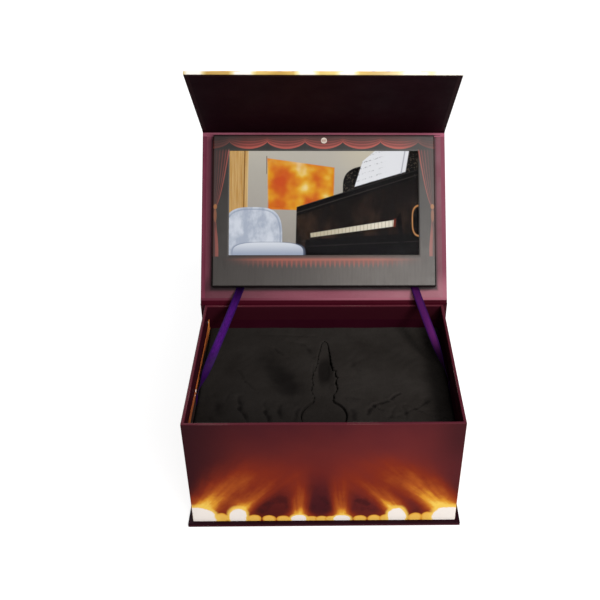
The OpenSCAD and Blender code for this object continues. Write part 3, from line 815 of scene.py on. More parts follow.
greyboard, board_shader, board_place = blank("greyboard", 0.9)
flecks = soft_step(noise(board_place, 1100.0, 2.0, 0.5), 0.62, 0.70)
board_colour = over(mottle(board_place, 260.0, detail=5.0), "7f786d", "989083")
board_colour = over(flecks, board_colour, "57524a")
feed(board_shader, "Base Color", board_colour)
grain(board_shader, board_place, 900.0, 0.00008)
refinish(greyboard, "base_board", "spine_board", "lid_board", "flap_board", "tray_floor", "tray_front_wall",
         "tray_back_wall", "tray_left_wall", "tray_right_wall", "panel_back_card")

nickel, nickel_shader, nickel_place = blank("nickel_plate", 0.28, Metallic=1.0)
feed(nickel_shader, "Base Color", over(mottle(nickel_place, 300.0), "a7a8ab", "c6c5c2"))
feed(nickel_shader, "Roughness", mottle(nickel_place, 700.0, 0.2, 0.36))
refinish(nickel, "tray_magnets", "flap_magnets")

# ---------- Side card ----------
# A strip of orange card, cut by hand and glued along the left wall; its top edge waves, its back
# end is cut to a point, and pale beads of glue show beside it.

card_front, card_back = -65.0 * mm, 68.0 * mm
card_x = -94.6 * mm
card_top = 88.4 * mm


def side_card(name):
    """Rows run back along the wall, columns round a thin section that stands up from the floor. The top
    edge falls slowly towards the back with a slight wave, and rises to a point at the back corner."""
    y = np.concatenate([np.linspace(card_front, 60 * mm, 60), np.linspace(60.5 * mm, card_back, 14)])
    top = card_top + 2.6 * mm * np.clip((y - 61 * mm) / (7 * mm), 0, 1) ** 1.4
    top = top - 3.4 * mm * np.clip((y - card_front) / (133 * mm), 0, 1) ** 1.3 + 0.25 * mm * np.sin(y * 83)
    lean = 0.18 * mm * np.sin(y * 61 + 0.6)
    section = np.array([
        (-0.2, 0.0), (-0.2, 0.93), (-0.12, 0.99), (0.0, 1.0), (0.12, 0.99), (0.2, 0.93), (0.2, 0.0),
    ])
    foot = foam_z - 10 * mm
    x = card_x + section[None, :, 0] * mm + (lean[:, None] + 0.2 * mm) * section[None, :, 1] ** 3
    z = foot + (top[:, None] - foot) * section[None, :, 1]
    loop = np.stack([x, np.repeat(y[:, None], 7, axis=1), z], axis=-1)
    return lay_grid(name, capped(loop), loop_cols=True)


orange_card, card_shader, card_place = blank("orange_card", 0.62)
card_colour = over(mottle(card_place, 120.0), "b2541c", "cf7230")
_, card_y, card_z = axes(card_place)
card_colour = over(soft_step(card_y, 40 * mm, -45 * mm) * 0.62, card_colour, "3c1409")
card_colour = over(soft_step(card_y, 54.0 * mm, 62.0 * mm), card_colour, "f09040")
# Painted shade: below a line that falls from 83 mm to 78 mm towards the back, the card is darkened where the
# gap beside the foam shades it.
foot_shade = card_z - scaled(soft_step(card_y, 20 * mm, 58 * mm), -0.0052, 0.0832)
card_colour = over(soft_step(foot_shade, 0.4 * mm, -0.9 * mm), card_colour, "1c0804")
feed(card_shader, "Base Color", card_colour)
grain(card_shader, card_place, 1200.0, 0.00006)
fix(side_card("side_strip"), orange_card, "base", "orange_card", "side_card")

glue, glue_shader, glue_place = blank("dried_glue", 0.35, Subsurface_Weight=0.2)
feed(glue_shader, "Base Color", over(mottle(glue_place, 500.0), "d8b9a8", "efe0d2"))
# Each bead: its distance in from the card, its places back and up, and its radius, in millimetres.
beads = [(0.3, 62.0, 88.9, 0.55), (0.35, -17.0, 85.8, 1.05), (0.3, -21.0, 85.0, 0.55)]


def glue_beads(name):
    """Each bead is a flattened ball: rows from pole to pole, columns round it, with a lumpy radius."""
    tilt, turn = np.meshgrid(np.linspace(0, math.pi, 9), np.linspace(0, 2 * math.pi, 14), indexing="ij")
    shells = []
    for bead in beads:
        gap, y, z, r = np.array(bead) * mm
        lump = r * (1 + 0.18 * np.sin(3 * turn + y * 900) * np.sin(tilt))
        shells.append(np.stack([
            card_x + gap + 0.35 * lump * np.sin(tilt) * np.cos(turn),
            y + 1.5 * lump * np.sin(tilt) * np.sin(turn),
            z + lump * np.cos(tilt),
        ], axis=-1))
    points = np.concatenate(shells)
    keep = np.ones((len(points) - 1, 13), bool)
    keep[8::9] = False
    return lay_grid(name, points, keep=keep, weld=1e-5)


fix(glue_beads("glue_beads"), glue, "base", "orange_card")

# ---------- Lid ----------
# A greyboard leaf in the same wrap. Its inside is lined with plum paper that stops short of the
# edges, so that the turned-in border shows round it.

hinge_y = 71.75 * mm
hinge_z = 101.9 * mm
lid_open = math.radians(129)
lid_reach = 141.2 * mm
crease_gap = 2.6 * mm
flap_len = 98.0 * mm
flap_stand = math.radians(99.5)
border = 3.5 * mm
# How far one step up the open lid goes back, and how far up.
lid_back, lid_up = 0.6293, 0.7771


def up_lid(y, z):
    """How far up the open lid a place lies: its distances back and up, each times the lid's share."""
    return y * lid_back + z * lid_up


def to_lid(p):
    """Carries points across, along and out of the lid's inner face into the box: a turn about the
    crease by the lid's opening angle, then a shift to the crease."""
    c, s = math.cos(lid_open), math.sin(lid_open)
    return np.stack([
        p[..., 0], hinge_y - p[..., 1] * c - p[..., 2] * s, hinge_z + p[..., 1] * s - p[..., 2] * c,
    ], axis=-1)


def to_flap(p):
    """Carries points of the flap into the lid by a turn about the fold, and on into the box."""
    c, s = math.cos(math.pi - flap_stand), math.sin(math.pi - flap_stand)
    return to_lid(np.stack([
        p[..., 0], lid_reach + p[..., 1] * c - p[..., 2] * s, p[..., 1] * s + p[..., 2] * c,
    ], axis=-1))


def leaf(name, half_x, start, end, low, high, frame_of, **shape):
    """A board of the lid or the flap between two distances from its crease."""
    middle = np.array([0.0, (start + end) / 2, 0.0])
    return wrapped_board(name, half_x, (end - start) / 2, low, high, lambda p: frame_of(p + middle), **shape)


plum_paper = plum_finish("plum_paper", "6c3040", "78384a", "86475a", 0.48, 0.26)
lid_end = lid_reach - crease_gap
lid_half_v = (lid_end - crease_gap) / 2
lid_cover = leaf(
    "lid_cover", case_w / 2, crease_gap, lid_end, -skin, -0.06 * mm, to_lid,
    flat_of=lambda p: np.stack([-p[..., 0], 30 * mm + 0.5 * (lid_half_v - p[..., 1])], axis=-1),
)
hollow(lid_cover)
lid_print, lid_shader, lid_place = blank("lid_print", 0.45, Specular_IOR_Level=0.05)
lid_run, lid_rise, _ = axes(wrap_map(lid_shader))
lid_across, lid_y, lid_z = axes(lid_place)
lid_out = lid_y * -lid_up + lid_z * lid_back
lid_face = -lid_up * hinge_y + lid_back * hinge_z
inside_lid = soft_step(lid_out, lid_face - 1.4 * mm, lid_face - 0.5 * mm)
lid_colour = stage_print(lid_run, lid_rise)
lid_border = over(mottle(lid_place, 30.0), "5e2838", "6c3244")
# Painted sheen: the border grows paler towards the right, and most in its lower right corner, where the
# light falls on it.
lid_border = over(soft_step(lid_across, 0.0, 98 * mm) * 0.5, lid_border, "7c4453")
lid_along = up_lid(lid_y, lid_z) - up_lid(hinge_y, hinge_z)
sheen_corner = soft_step(lid_across, 70 * mm, 90 * mm) * soft_step(lid_along, 28 * mm, 9 * mm)
lid_border = over(sheen_corner * 0.65, lid_border, "9a6270")
lid_colour = over(inside_lid, lid_colour, lid_border)
feed(lid_shader, "Base Color", lid_colour)
grain(lid_shader, lid_place, 1500.0, 0.00003, 45.0, 0.00025)
fix(lid_cover, lid_print, "lid", "printed_wrap", "lid_wrap")
lid_paper = leaf("lid_paper", case_w / 2 - border, crease_gap - 0.6 * mm, lid_end + 0.6 * mm, -0.2 * mm,
                 0.0, to_lid, corner=0.4 * mm, edge=0.08 * mm)
fix(lid_paper, plum_paper, "lid", "plum_paper", "lid_lining")

# Painted shadow darkens the lining round the panel's foot and sides, where the panel shades it; the
# panel's outline is given here by half its width and by its two ends' distances up the lid.
panel_half_x = 90.5 * mm
panel_start, panel_end = 12.0 * mm, 136.0 * mm
plum_shader = plum_paper.node_tree.nodes["Principled BSDF"]
plum_x, plum_y, plum_z = axes(place_in(plum_shader))
past_side = abs(plum_x) - panel_half_x
past_foot = (up_lid(hinge_y, hinge_z) + panel_start) - up_lid(plum_y, plum_z)
panel_shadow = soft_step(sums("MAXIMUM", past_side, past_foot), 3.7 * mm, 0.9 * mm) * 0.97
plum_base = fed(plum_shader, "Base Color")
# Painted shade and sheen across the lining below the panel: darker towards the left, paler towards the
# right.
foot_strip = soft_step(past_foot, -16.0 * mm, 3.0 * mm)
shade_left = soft_step(plum_x, 0.0, -98 * mm) * 0.62
plum_base = over(foot_strip * shade_left, plum_base, "2c0d16")
sheen_right = soft_step(plum_x, 0.0, 70 * mm) * 0.27
plum_base = over(foot_strip * sheen_right, plum_base, "a8707c")
# Painted shadow: a dark strip on the lining beside the panel's right side, above the foot.
side_strip = soft_step(plum_x, 88 * mm, 91 * mm) * (1.0 - foot_strip)
plum_base = over(side_strip * 0.36, plum_base, "2c0d16")
feed(plum_shader, "Base Color", over(panel_shadow, plum_base, "1c060d"))

# ---------- Flap ----------
# The front leaf of the case. The print outside it goes round its free edge, and the lining
# inside is a deep maroon, darkened further by painted shade, that reads almost black.

flap_half_v = (flap_len - crease_gap) / 2


def flap_map(p):
    """The flap's print, flat: across, and up from the free edge on the outside. Past the edge the
    height is negative: the distance over the edge, and on the inside the distance back as well."""
    from_edge = flap_half_v - p[..., 1]
    over_edge = p[..., 2] + skin
    inner = p[..., 2] > -skin / 2
    outside = np.maximum(from_edge, 0) - over_edge
    up = np.where(inner & (from_edge > 1.2 * mm), -over_edge - from_edge, outside)
    return np.stack([-p[..., 0], up], axis=-1)


flap_cover = leaf("flap_cover", case_w / 2, crease_gap, flap_len, -skin, -0.06 * mm, to_flap,
                  flat_of=flap_map)
hollow(flap_cover)
flap_print, flap_shader, flap_place = blank("flap_print", 0.45, Specular_IOR_Level=0.05)
flap_x, flap_up, _ = axes(wrap_map(flap_shader))
flap_colour = stage_print(flap_x, flap_up)
glow_cloud = noise(joined(flap_x * 24.0, flap_up * 60.0, 3.7), 1.0, 2.0, 0.55)
# The lamps' light on the edge: each one's place across and half-width, in millimetres.
edge_bulbs = [(93.0, 6.0), (58.0, 6.5), (12.0, 6.0), (-17.0, 5.5), (-66.0, 9.0), (-92.0, 12.0)]
bulb_light = 0.0
for bulb_x, bulb_half in edge_bulbs:
    from_bulb = abs(flap_x - bulb_x * mm)
    one_bulb = soft_step(from_bulb, (bulb_half + 4.0) * mm, (bulb_half - 3.0) * mm)
    bulb_light = sums("MAXIMUM", bulb_light, one_bulb)
glow_level = scaled(bulb_light, 0.6, glow_cloud * 0.4)
edge_colour = bands(glow_level, [
    (0.0, "8c6428"), (0.13, "a88440"), (0.20, "c4a660"), (0.27, "d2bf7c"), (0.50, "dcd0a4"),
    (0.74, "e6e2da"),
])
edge_dim = soft_step(flap_x, 30 * mm, 88 * mm) * 0.5
edge_colour = over(edge_dim * (1.0 - bulb_light), edge_colour, "86602a")
edge_pale = soft_step(flap_x, -20 * mm, -75 * mm) * 0.5
edge_colour = over(edge_pale, edge_colour, "e8e2d0")
flap_colour = over(soft_step(flap_up, -0.1 * mm, -0.7 * mm), flap_colour, edge_colour)
turned_in = soft_step(flap_up, -2.5 * mm, -2.9 * mm)
flap_colour = over(turned_in, flap_colour, "24090f")
feed(flap_shader, "Base Color", flap_colour)
grain(flap_shader, flap_place, 1500.0, 0.00003, 45.0, 0.00025)
fix(flap_cover, flap_print, "flap", "printed_wrap", "flap_wrap")
flap_paper = leaf("flap_paper", case_w / 2 - border, crease_gap - 0.6 * mm, flap_len - border, -0.2 * mm,
                  0.0, to_flap, corner=0.4 * mm, edge=0.08 * mm)
# The flap's lining: its own deep maroon, darkened further by painted shade, as it faces down and away from
# the light.
deep_shaded_paper = plum_finish("deep_shaded_paper", "1a050c", "1f0810", "260c15", 0.6, 0.05)
fix(flap_paper, deep_shaded_paper, "flap", "maroon_paper", "flap_lining")

# ---------- Creases ----------
# The wrap and the lining meet between the boards and bend there as one strip, at the lid's
# hinge and at the flap's fold.


def crease_strip(name, inner, outer, mat, node):
    """A strip whose section is a closed line: the inner side's points, then the outer side's points
    backwards, each smoothed along a spline. The section is carried across the case."""

    def smoothed(line):
        """A spline through the line's points: between two of them, a cubic of those and their neighbours."""
        line = np.array(line)
        t = np.linspace(0, len(line) - 1, 5 * (len(line) - 1) + 1)
        k = np.clip(t.astype(int), 0, len(line) - 2)
        f = (t - k)[:, None]
        before, after = line[np.clip(k - 1, 0, None)], line[np.clip(k + 2, None, len(line) - 1)]
        a, b = line[k], line[k + 1]
        return 0.5 * (2 * a + (b - before) * f + (2 * before - 5 * a + 4 * b - after) * f ** 2
                      + (3 * a - before - 3 * b + after) * f ** 3)

    section = np.concatenate([smoothed(inner), smoothed(outer)[::-1]])
    half = case_w / 2 - 0.05 * mm
    x = np.concatenate([[-half, -half], np.linspace(-half + 0.3 * mm, half - 0.3 * mm, 40), [half, half]])
    shrink = np.concatenate([[0.0, 0.92], np.ones(40), [0.92, 0.0]])[:, None, None]
    middle = section.mean(axis=0)
    yz = middle + (section - middle)[None] * shrink
    points = np.concatenate([np.repeat(x[:, None, None], len(section), axis=1), yz], axis=-1)
    gone = np.concatenate([[0.0], np.cumsum(np.linalg.norm(np.diff(section, axis=0), axis=1))])
    outside = np.arange(len(section)) >= 5 * (len(inner) - 1) + 1
    gone = np.append(gone + 1.0 * outside, 1.0 + gone[-1])
    flat = np.stack(np.broadcast_arrays(x[:, None], gone[None]), axis=-1)
    piece = lay_grid(name, points, uv=flat, loop_cols=True)
    piece.data.materials.append(mat)
    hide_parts(node)
    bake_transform(piece)


def box_yz(y, z):
    """A place in the box, from millimetres back and up."""
    return [y * mm, z * mm]


def lid_yz(v, n):
    """A place in the lid, as distances back and up in the box."""
    return to_lid(np.array([0.0, v, n]) * mm)[1:].tolist()


def flap_yz(v, n):
    """A place in the flap, as distances back and up in the box."""
    return to_flap(np.array([0.0, v, n]) * mm)[1:].tolist()


def fold_finish(name, inner_codes, change_at, next_codes, outer_codes):
    """Lining paper on the inner side, in a second tint past a distance from the strip's start that
    pales from left to right, and printed wrap on the outer side. The strip's map counts its outer
    side from one metre."""
    mat = plum_finish(name, *inner_codes, 0.6, 0.02)
    shader = mat.node_tree.nodes["Principled BSDF"]
    gone = axes(wrap_map(shader))[1]
    base = fed(shader, "Base Color")
    place = place_in(shader)
    across = axes(place)[0]
    second = over(soft_step(across, -95 * mm, 60 * mm), next_codes[0], next_codes[1])
    base = over(soft_step(gone, change_at, change_at + 0.8 * mm), base, second)
    wrap = over(mottle(place, 22.0), outer_codes[0], outer_codes[1])
    feed(shader, "Base Color", over(soft_step(gone, 0.4, 0.6), base, wrap))
    return mat


# At the lid's hinge the lining's second tint runs from dark at the left to pale at the right: painted shade
# and sheen, as on the lining below the panel.
crease_maroon = fold_finish(
    "crease_maroon", ("300510", "360613", "3e0a19"), 4.2 * mm, ("542432", "8c5462"), ("3a121b", "34121a"),
)
# At the flap's fold the lining's first stretch, on the lid, is paler pink than the lining: a painted
# highlight where the paper bulges over the board's edge; then the flap's near-black lining, darkened by
# painted shade.
fold_paper = fold_finish(
    "fold_paper", ("8a4a5c", "98586a", "a8687c"), 2.7 * mm, ("1e060d", "20070e"), ("46191f", "3c1a20"),
)
crease_strip(
    "lid_crease",
    [box_yz(69.3, 100.84), box_yz(70.6, 100.88), box_yz(71.5, 101.05), box_yz(72.05, 101.9),
     lid_yz(1.6, 0.0), lid_yz(3.4, 0.03)],
    [box_yz(73.22, 98.8), box_yz(73.5, 100.4), box_yz(74.5, 101.2), lid_yz(2.3, -2.8), lid_yz(3.6, -2.93)],
    crease_maroon,
    "lid_hinge_paper",
)
crease_strip(
    "flap_crease",
    [lid_yz(137.6, 0.03), lid_yz(139.6, 0.0), lid_yz(140.9, 0.35), flap_yz(1.6, 0.0), flap_yz(3.4, 0.03)],
    [lid_yz(137.4, -2.93), lid_yz(140.0, -2.93), lid_yz(142.6, -2.5), flap_yz(0.5, -3.0),
     flap_yz(3.6, -2.93)],
    fold_paper,
    "flap_hinge_paper",
)

# ---------- Panel ----------
# The display sits in a built-up card frame under one printed sheet, which turns down over the
# frame's sides. The print is a theatre: swags above, drapes at the sides, a fringed stage edge.

panel_high = 9.0 * mm
glass_top = 7.8 * mm
screen_half_x, screen_half_v = 77.05 * mm, 42.95 * mm
screen_mid = 80.55 * mm


def panel_skin(name):
    """Rows run up the panel's side, over a rounded edge, across the face to the window, down its edge
    and back underneath. Columns run round the panel; each joins a place on the panel's outline to the
    matching place on the window's."""
    mid = (panel_start + panel_end) / 2
    over_frame, sheet = 0.12 * mm, 0.10 * mm
    half_v = (panel_end - panel_start) / 2
    rows = []

    sheet_x, sheet_v = panel_half_x + over_frame, half_v + over_frame
    corner = 0.8 * mm

    def outer(inset, high):
        """A row round the sheet's outline, set in, at a height over the lid."""
        line, _, _ = ring_line(sheet_x, sheet_v, max(corner - inset, 0.2 * mm), inset)
        rows.append(np.column_stack([line[:, 0], line[:, 1] + mid, np.full(len(line), high)]))

    def window(grow, high):
        """A row round the window, a little larger than the screen, at a height over the lid."""
        line, _, _ = ring_line(sheet_x, sheet_v, corner, 0.0)
        x = line[:, 0] * ((screen_half_x + grow) / sheet_x)
        v = line[:, 1] * ((screen_half_v + grow) / sheet_v) + screen_mid
        rows.append(np.column_stack([x, v, np.full(len(line), high)]))

    outer(0.0, 0.05 * mm)
    outer(0.0, 4.0 * mm)
    edge = 0.55 * mm
    for turn in np.linspace(0, math.pi / 2, 6):
        outer(edge * (1 - math.cos(turn)), panel_high - edge + edge * math.sin(turn))
    window(0.12 * mm, panel_high)
    window(0.03 * mm, panel_high - 0.04 * mm)
    window(0.0, panel_high - 0.13 * mm)
    window(0.0, glass_top)
    outer(over_frame + 0.02 * mm, glass_top)
    outer(sheet, 0.05 * mm)
    face_at = 7
    a, b = rows[face_at], rows[face_at + 1]
    between = [a + (b - a) * t for t in np.linspace(0, 1, 12)[1:-1]]
    rows[face_at + 1:face_at + 1] = between
    local = np.array(rows)
    flat = local[..., :2]
    return lay_grid(name, to_lid(local), uv=flat, loop_rows=True, loop_cols=True)


def drape_print(x, v):
    """The printed theatre, in millimetres. A swag repeats across: its lower edge is a parabola drawn
    out to a rounder arch, and its folds are the same arch at even shares of the depth. A drape's inner
    edge is a power curve down to its tie, with folds at even shares of its width, and its tail hangs
    below. The stage edge is a thin bright line over a fringe of short strokes that fades outwards."""
    greys = [(0.0, "322c29"), (0.16, "2f2926"), (0.5, "24201d"), (1.0, "191514")]
    colour = bands(even_run(v, 12.0, 136.0), greys)
    # Painted sheen: a paler bell towards the right of the lower half; and painted shade towards the left.
    painted_sheen = soft_step(abs(x - 44.0), 78.0, 8.0)
    colour = over(painted_sheen * soft_step(v, 58.0, 24.0), colour, "443e3a")
    colour = over(soft_step(x, -20.0, -88.0) * 0.32, colour, "120e0d")
    brushed = noise(joined(x, v * 0.08, 0.0), 0.55, 2.0, 0.6)
    colour = over(soft_step(brushed, 0.42, 0.66) * 0.18, colour, "15100f")
    # Painted shade: a near-black rim along the print's bottom, top and side edges and over the sides, where
    # the panel's edges fall in shadow.
    rim = sums("MAXIMUM", soft_step(v, 13.5, 12.5), soft_step(v, 135.2, 135.9))
    rim = sums("MAXIMUM", rim, soft_step(abs(x), 88.9, 90.0))
    colour = over(rim, colour, "0c0808")
    cell = sums("FRACT", (x + 77.25) / 30.9)
    arch = cell * (1.0 - cell) * 4.0
    low_edge = scaled(arch ** 0.72, 6.0, 5.2)
    share = (136.0 - v) / low_edge
    inside = 1.0 - soft_step(share, 0.965, 1.01)
    lit = soft_step(sums("SINE", share * 31.0), 0.35, 0.95)
    swag = over(soft_step(share, 0.1, 1.0), "3a1a17", "762c25")
    swag = over(lit * soft_step(share, 0.05, 0.9), swag, "96413a")
    swag = over(soft_step(share, 0.80, 0.93) * 0.8, swag, "a24a3e")
    faint = 0.94 - soft_step(abs(x), 60.0, 82.0) * 0.74
    colour = over(inside * faint, colour, swag)
    from_edge = 90.5 - abs(x)
    rise = (v - 77.0) / 47.0
    curve = scaled(abs(rise) ** 0.66, 11.0, 2.6)
    tail = scaled(soft_step(v, 77.0, 40.0), 2.9, 2.3)
    is_up = soft_step(v, 76.8, 77.2)
    width = curve * is_up + tail * (1.0 - is_up)
    share = from_edge / width
    under = 1.0 - soft_step(v, 122.5, 125.5)
    ends = soft_step(v, 36.0, 37.0) * under
    inside = (1.0 - soft_step(share, 0.94, 1.02)) * ends
    folds = soft_step(sums("SINE", share * 34.0), 0.0, 1.0)
    drape = over(folds * soft_step(share, 0.0, 0.9), "2a1615", "6c2e29")
    drape = over(soft_step(share, 0.88, 0.95), drape, "97453a")
    hanging = soft_step(v, 66.0, 52.0) * soft_step(share, 0.40, 0.58)
    drape = over(hanging * 0.8, drape, "86443b")
    colour = over(inside * 0.80, colour, drape)
    for middle, tall, wide, code in ((77.2, 2.2, 1.5, "84532a"), (69.8, 5.6, 1.25, "6c3f28")):
        tie = ((v - middle) / tall) ** 2.0 + ((from_edge - 2.3) / wide) ** 2.0
        colour = over(soft_step(tie, 1.3, 0.5), colour, code)
    side_fade = soft_step(abs(x), 84.0, 34.0)
    line = soft_step(abs(v - 33.9), 1.5, 0.2)
    haze = soft_step(abs(v - 33.2), 4.8, 0.3)
    colour = over(haze * side_fade * 0.50, colour, "7c3426")
    colour = over(line * side_fade * 0.42, colour, "a05440")
    stroke = soft_step(sums("SINE", x * 1.62), 0.05, 0.75)
    length = soft_step(v, 26.2, 30.0) * soft_step(v, 34.0, 33.0)
    fringe = stroke * length * soft_step(abs(x), 74.0, 26.0)
    return over(fringe * 0.50, colour, "8c3d2f")


panel_print, panel_shader, panel_place = blank("panel_print", 0.4)
panel_run, panel_rise, _ = axes(wrap_map(panel_shader))
panel_x, panel_v = panel_run * 1000.0, panel_rise * 1000.0
feed(panel_shader, "Base Color", drape_print(panel_x, panel_v))
feed(panel_shader, "Roughness", mottle(panel_place, 120.0, 0.36, 0.46))
grain(panel_shader, panel_place, 1400.0, 0.00003, 60.0, 0.00012)
rubbed_edge = sums("MAXIMUM", soft_step(abs(panel_x), 89.2, 90.0), soft_step(panel_v, 13.5, 12.7))
feed(panel_shader, "Specular IOR Level", scaled(rubbed_edge, -0.45, 0.5))
fix(panel_skin("panel_sheet"), panel_print, "lid", "printed_card", "panel_face_card")

black_card, black_shader, black_place = blank("black_card", 0.7)
feed(black_shader, "Base Color", over(mottle(black_place, 300.0), "161414", "211e1d"))
grain(black_shader, black_place, 1300.0, 0.00006)
refinish(black_card, "panel_frame")

# ---------- Display ----------
# A lit picture behind a flat cover glass: a made-up music room, with a pale wall, warm colour on
# it, a dark glossy instrument and a pale upholstered chair.


def lit_sheet(name, half_x, half_v, mid, high, columns=24, rows=14):
    """A flat sheet of quads with the picture's own map, from nought to one each way."""
    u, w = np.meshgrid(np.linspace(0, 1, columns), np.linspace(0, 1, rows))
    local = np.stack([(2 * u - 1) * half_x, mid + (2 * w - 1) * half_v, np.full_like(u, high)], axis=-1)
    back = local - np.array([0, 0, 0.04 * mm])
    loop = np.concatenate([local, back[:, ::-1]], axis=1)
    flat = np.stack([u, w], axis=-1)
    flat = np.concatenate([flat, flat[:, ::-1], flat[:, :1]], axis=1)
    return lay_grid(name, to_lid(loop), uv=flat, loop_cols=True)


def patch(at, soft, *corners):
    """A shape with straight sides, whose corners go round anticlockwise: the least of its sides'
    masks. Each mask is one on the left of the line from one corner to the next, nought on its right,
    with a soft edge."""
    mask = 1.0
    for a, b in zip(corners, corners[1:] + corners[:1]):
        dx, dy = b[0] - a[0], b[1] - a[1]
        size = math.hypot(dx, dy)
        gap = (at[1] - a[1]) * (dx / size) + (at[0] - a[0]) * (-dy / size)
        mask = sums("MINIMUM", mask, soft_step(gap, -soft / 2, soft / 2))
    return mask


def painted(at, colour, *patches):
    """Lays patches over a colour, one after another: each has a softness, a colour and its corners."""
    for soft, top, *corners in patches:
        colour = over(patch(at, soft, *corners), colour, top)
    return colour


def pillow(at, x, y, rx, ry):
    """A soft-cornered block: powers of the distances across and up, summed, are less than one in it."""
    return abs((at[0] - x) / rx) ** 3.2 + abs((at[1] - y) / ry) ** 3.2


def music_room(shader):
    """The picture, painted from back to front, on a map from nought to one each way."""
    at = axes(wrap_map(shader))[:2]
    u, w = at
    place = joined(u, w * 0.56, 0.0)
    speckle = noise(place, 90.0, 2.0, 0.6)
    colour = bands(w + u * 0.20, [(0.0, "98938a"), (0.5, "b1aba2"), (0.85, "bbb6ab"), (1.0, "c3bdb1")])
    beside, above_it = (u - 0.72) / 0.12, (w - 1.04) / 0.20
    lamp_light = soft_step(sums("SQRT", beside * beside + above_it * above_it), 1.9, 0.1)
    colour = over(lamp_light * 0.55, colour, "d8cdb4")
    wood = noise(joined(u * 110.0, w * 2.2, 0.0), 1.0, 3.0, 0.6)
    timber = over(soft_step(wood, 0.3, 0.7), "bf8f4c", "d9b377")
    warm = bands(even_run(noise(place, 9.0, 2.0, 0.45), 0.30, 0.70), [
        (0.0, "d2501c"), (0.25, "da6a1a"), (0.45, "e48a1e"), (0.62, "eaa224"), (0.80, "f0c048"),
        (1.0, "f6e2a8"),
    ])
    warm = over(soft_step(w, 0.76, 0.94) * 0.40, warm, "dd6038")
    colour = painted(
        at, colour,
        (0.004, "6b5a42", (0.195, 0.78), (0.199, 0.78), (0.199, 0.95), (0.195, 0.95)),
        (0.006, timber, (-0.1, -0.1), (0.088, -0.1), (0.098, 1.1), (-0.1, 1.1)),
        (0.003, "8a5f26", (0.070, -0.1), (0.075, -0.1), (0.085, 1.1), (0.078, 1.1)),
        (0.003, "e3bf83", (0.088, -0.1), (0.092, -0.1), (0.102, 1.1), (0.098, 1.1)),
        (0.008, warm, (0.205, 0.44), (0.548, 0.42), (0.556, 0.84), (0.20, 0.93)),
    )
    scroll = over(soft_step(speckle, 0.56, 0.60), "0a0908", "4a4238")
    colour = over(soft_step(pillow(at, 0.80, 0.62, 0.20, 0.24), 1.04, 0.98), colour, scroll)
    ruled = sums("SINE", w * 118.0 + u * -66.0)
    notes = soft_step(ruled, 0.55, 0.9) * soft_step(speckle, 0.50, 0.58) * soft_step(u, 0.84, 0.76)
    colour = painted(
        at, colour,
        (0.005, scroll, (0.93, 0.5), (1.1, 0.5), (1.1, 1.1), (0.925, 1.1)),
        (0.005, over(notes * 0.7, "f1f2f6", "84848c"),
         (0.662, 0.655), (0.932, 0.800), (0.962, 1.1), (0.835, 1.1), (0.705, 0.90)),
        (0.003, "b9bac2", (0.905, 0.78), (0.912, 0.785), (0.944, 1.1), (0.937, 1.1)),
    )
    glossy = noise(joined(u * 9.0, w * 2.0, 3.0), 1.0, 3.0, 0.6)
    body = painted(
        at, over(soft_step(glossy, 0.46, 0.80), "120d0a", "3d2b1f"),
        (0.006, "060505", (0.30, 0.345), (1.1, 0.80), (1.1, 0.95), (0.30, 0.46)),
        (0.003, "39342f", (0.30, 0.372), (1.1, 0.826), (1.1, 0.834), (0.30, 0.380)),
        (0.003, "2f2d2c", (0.30, 0.424), (1.1, 0.872), (1.1, 0.879), (0.30, 0.431)),
        (0.006, "080707", (0.40, -0.1), (1.1, -0.1), (1.1, 0.225), (0.40, 0.150)),
        (0.004, "2e2b29", (0.42, 0.085), (1.1, 0.138), (1.1, 0.148), (0.42, 0.092)),
        (0.006, "050404", (0.895, 0.02), (0.925, 0.02), (0.905, 0.42), (0.885, 0.36)),
    )
    brass = pillow(at, 1.02, 0.33, 0.055, 0.15)
    body = over(soft_step(brass, 1.18, 1.05) * soft_step(brass, 0.72, 0.86), body, "c98c54")
    body = over(soft_step(brass, 0.80, 0.66), body, "060505")
    gaps = soft_step(sums("SINE", u * 330.0), 0.80, 0.98)
    ivory = over(soft_step(u, 0.45, 0.85), "c9bfa4", "efe8d6")
    colour = painted(
        at, colour,
        (0.005, body, (0.348, -0.1), (1.1, -0.1), (1.1, 0.885), (0.355, 0.462)),
        (0.005, over(gaps, ivory, "a89c84"), (0.430, 0.172), (0.868, 0.276), (0.872, 0.338), (0.428, 0.212)),
        (0.004, "6e2a1c", (0.864, 0.27), (0.876, 0.27), (0.880, 0.35), (0.868, 0.35)),
    )
    folds = noise(joined(u * 16.0, w * 5.0, 1.0), 1.0, 3.0, 0.6)
    back = pillow(at, 0.125, 0.16, 0.155, 0.30)
    cloth = over(soft_step(folds, 0.36, 0.66), "b3bccd", "dde3ee")
    colour = over(soft_step(back, 1.03, 0.97), colour, cloth)
    piping = soft_step(back, 0.70, 0.78) * soft_step(back, 0.90, 0.82)
    colour = over(piping * 0.6, colour, "8f9bb2")
    cushion = pillow(at, 0.205, 0.02, 0.185, 0.105)
    colour = over(soft_step(cushion, 1.35, 0.98) * 0.7, colour, "6f7c96")
    seat = over(soft_step(w, 0.0, 0.13), "a4afc4", "e3e8f1")
    return over(soft_step(cushion, 1.03, 0.97), colour, seat)


lit, lit_shader, _ = blank("lit_picture", 0.5, Specular_IOR_Level=0.02)
feed(lit_shader, "Emission Color", music_room(lit_shader))
lit_shader.inputs["Emission Strength"].default_value = 1.04
lit_shader.inputs["Base Color"].default_value = (0.006, 0.006, 0.007, 1.0)
picture_high = 7.10 * mm
tuck_in = 0.2 * mm
picture = lit_sheet("lit_picture", screen_half_x + tuck_in, screen_half_v + tuck_in, screen_mid,
                    picture_high)
fix(picture, lit, "lid", "display_glass")

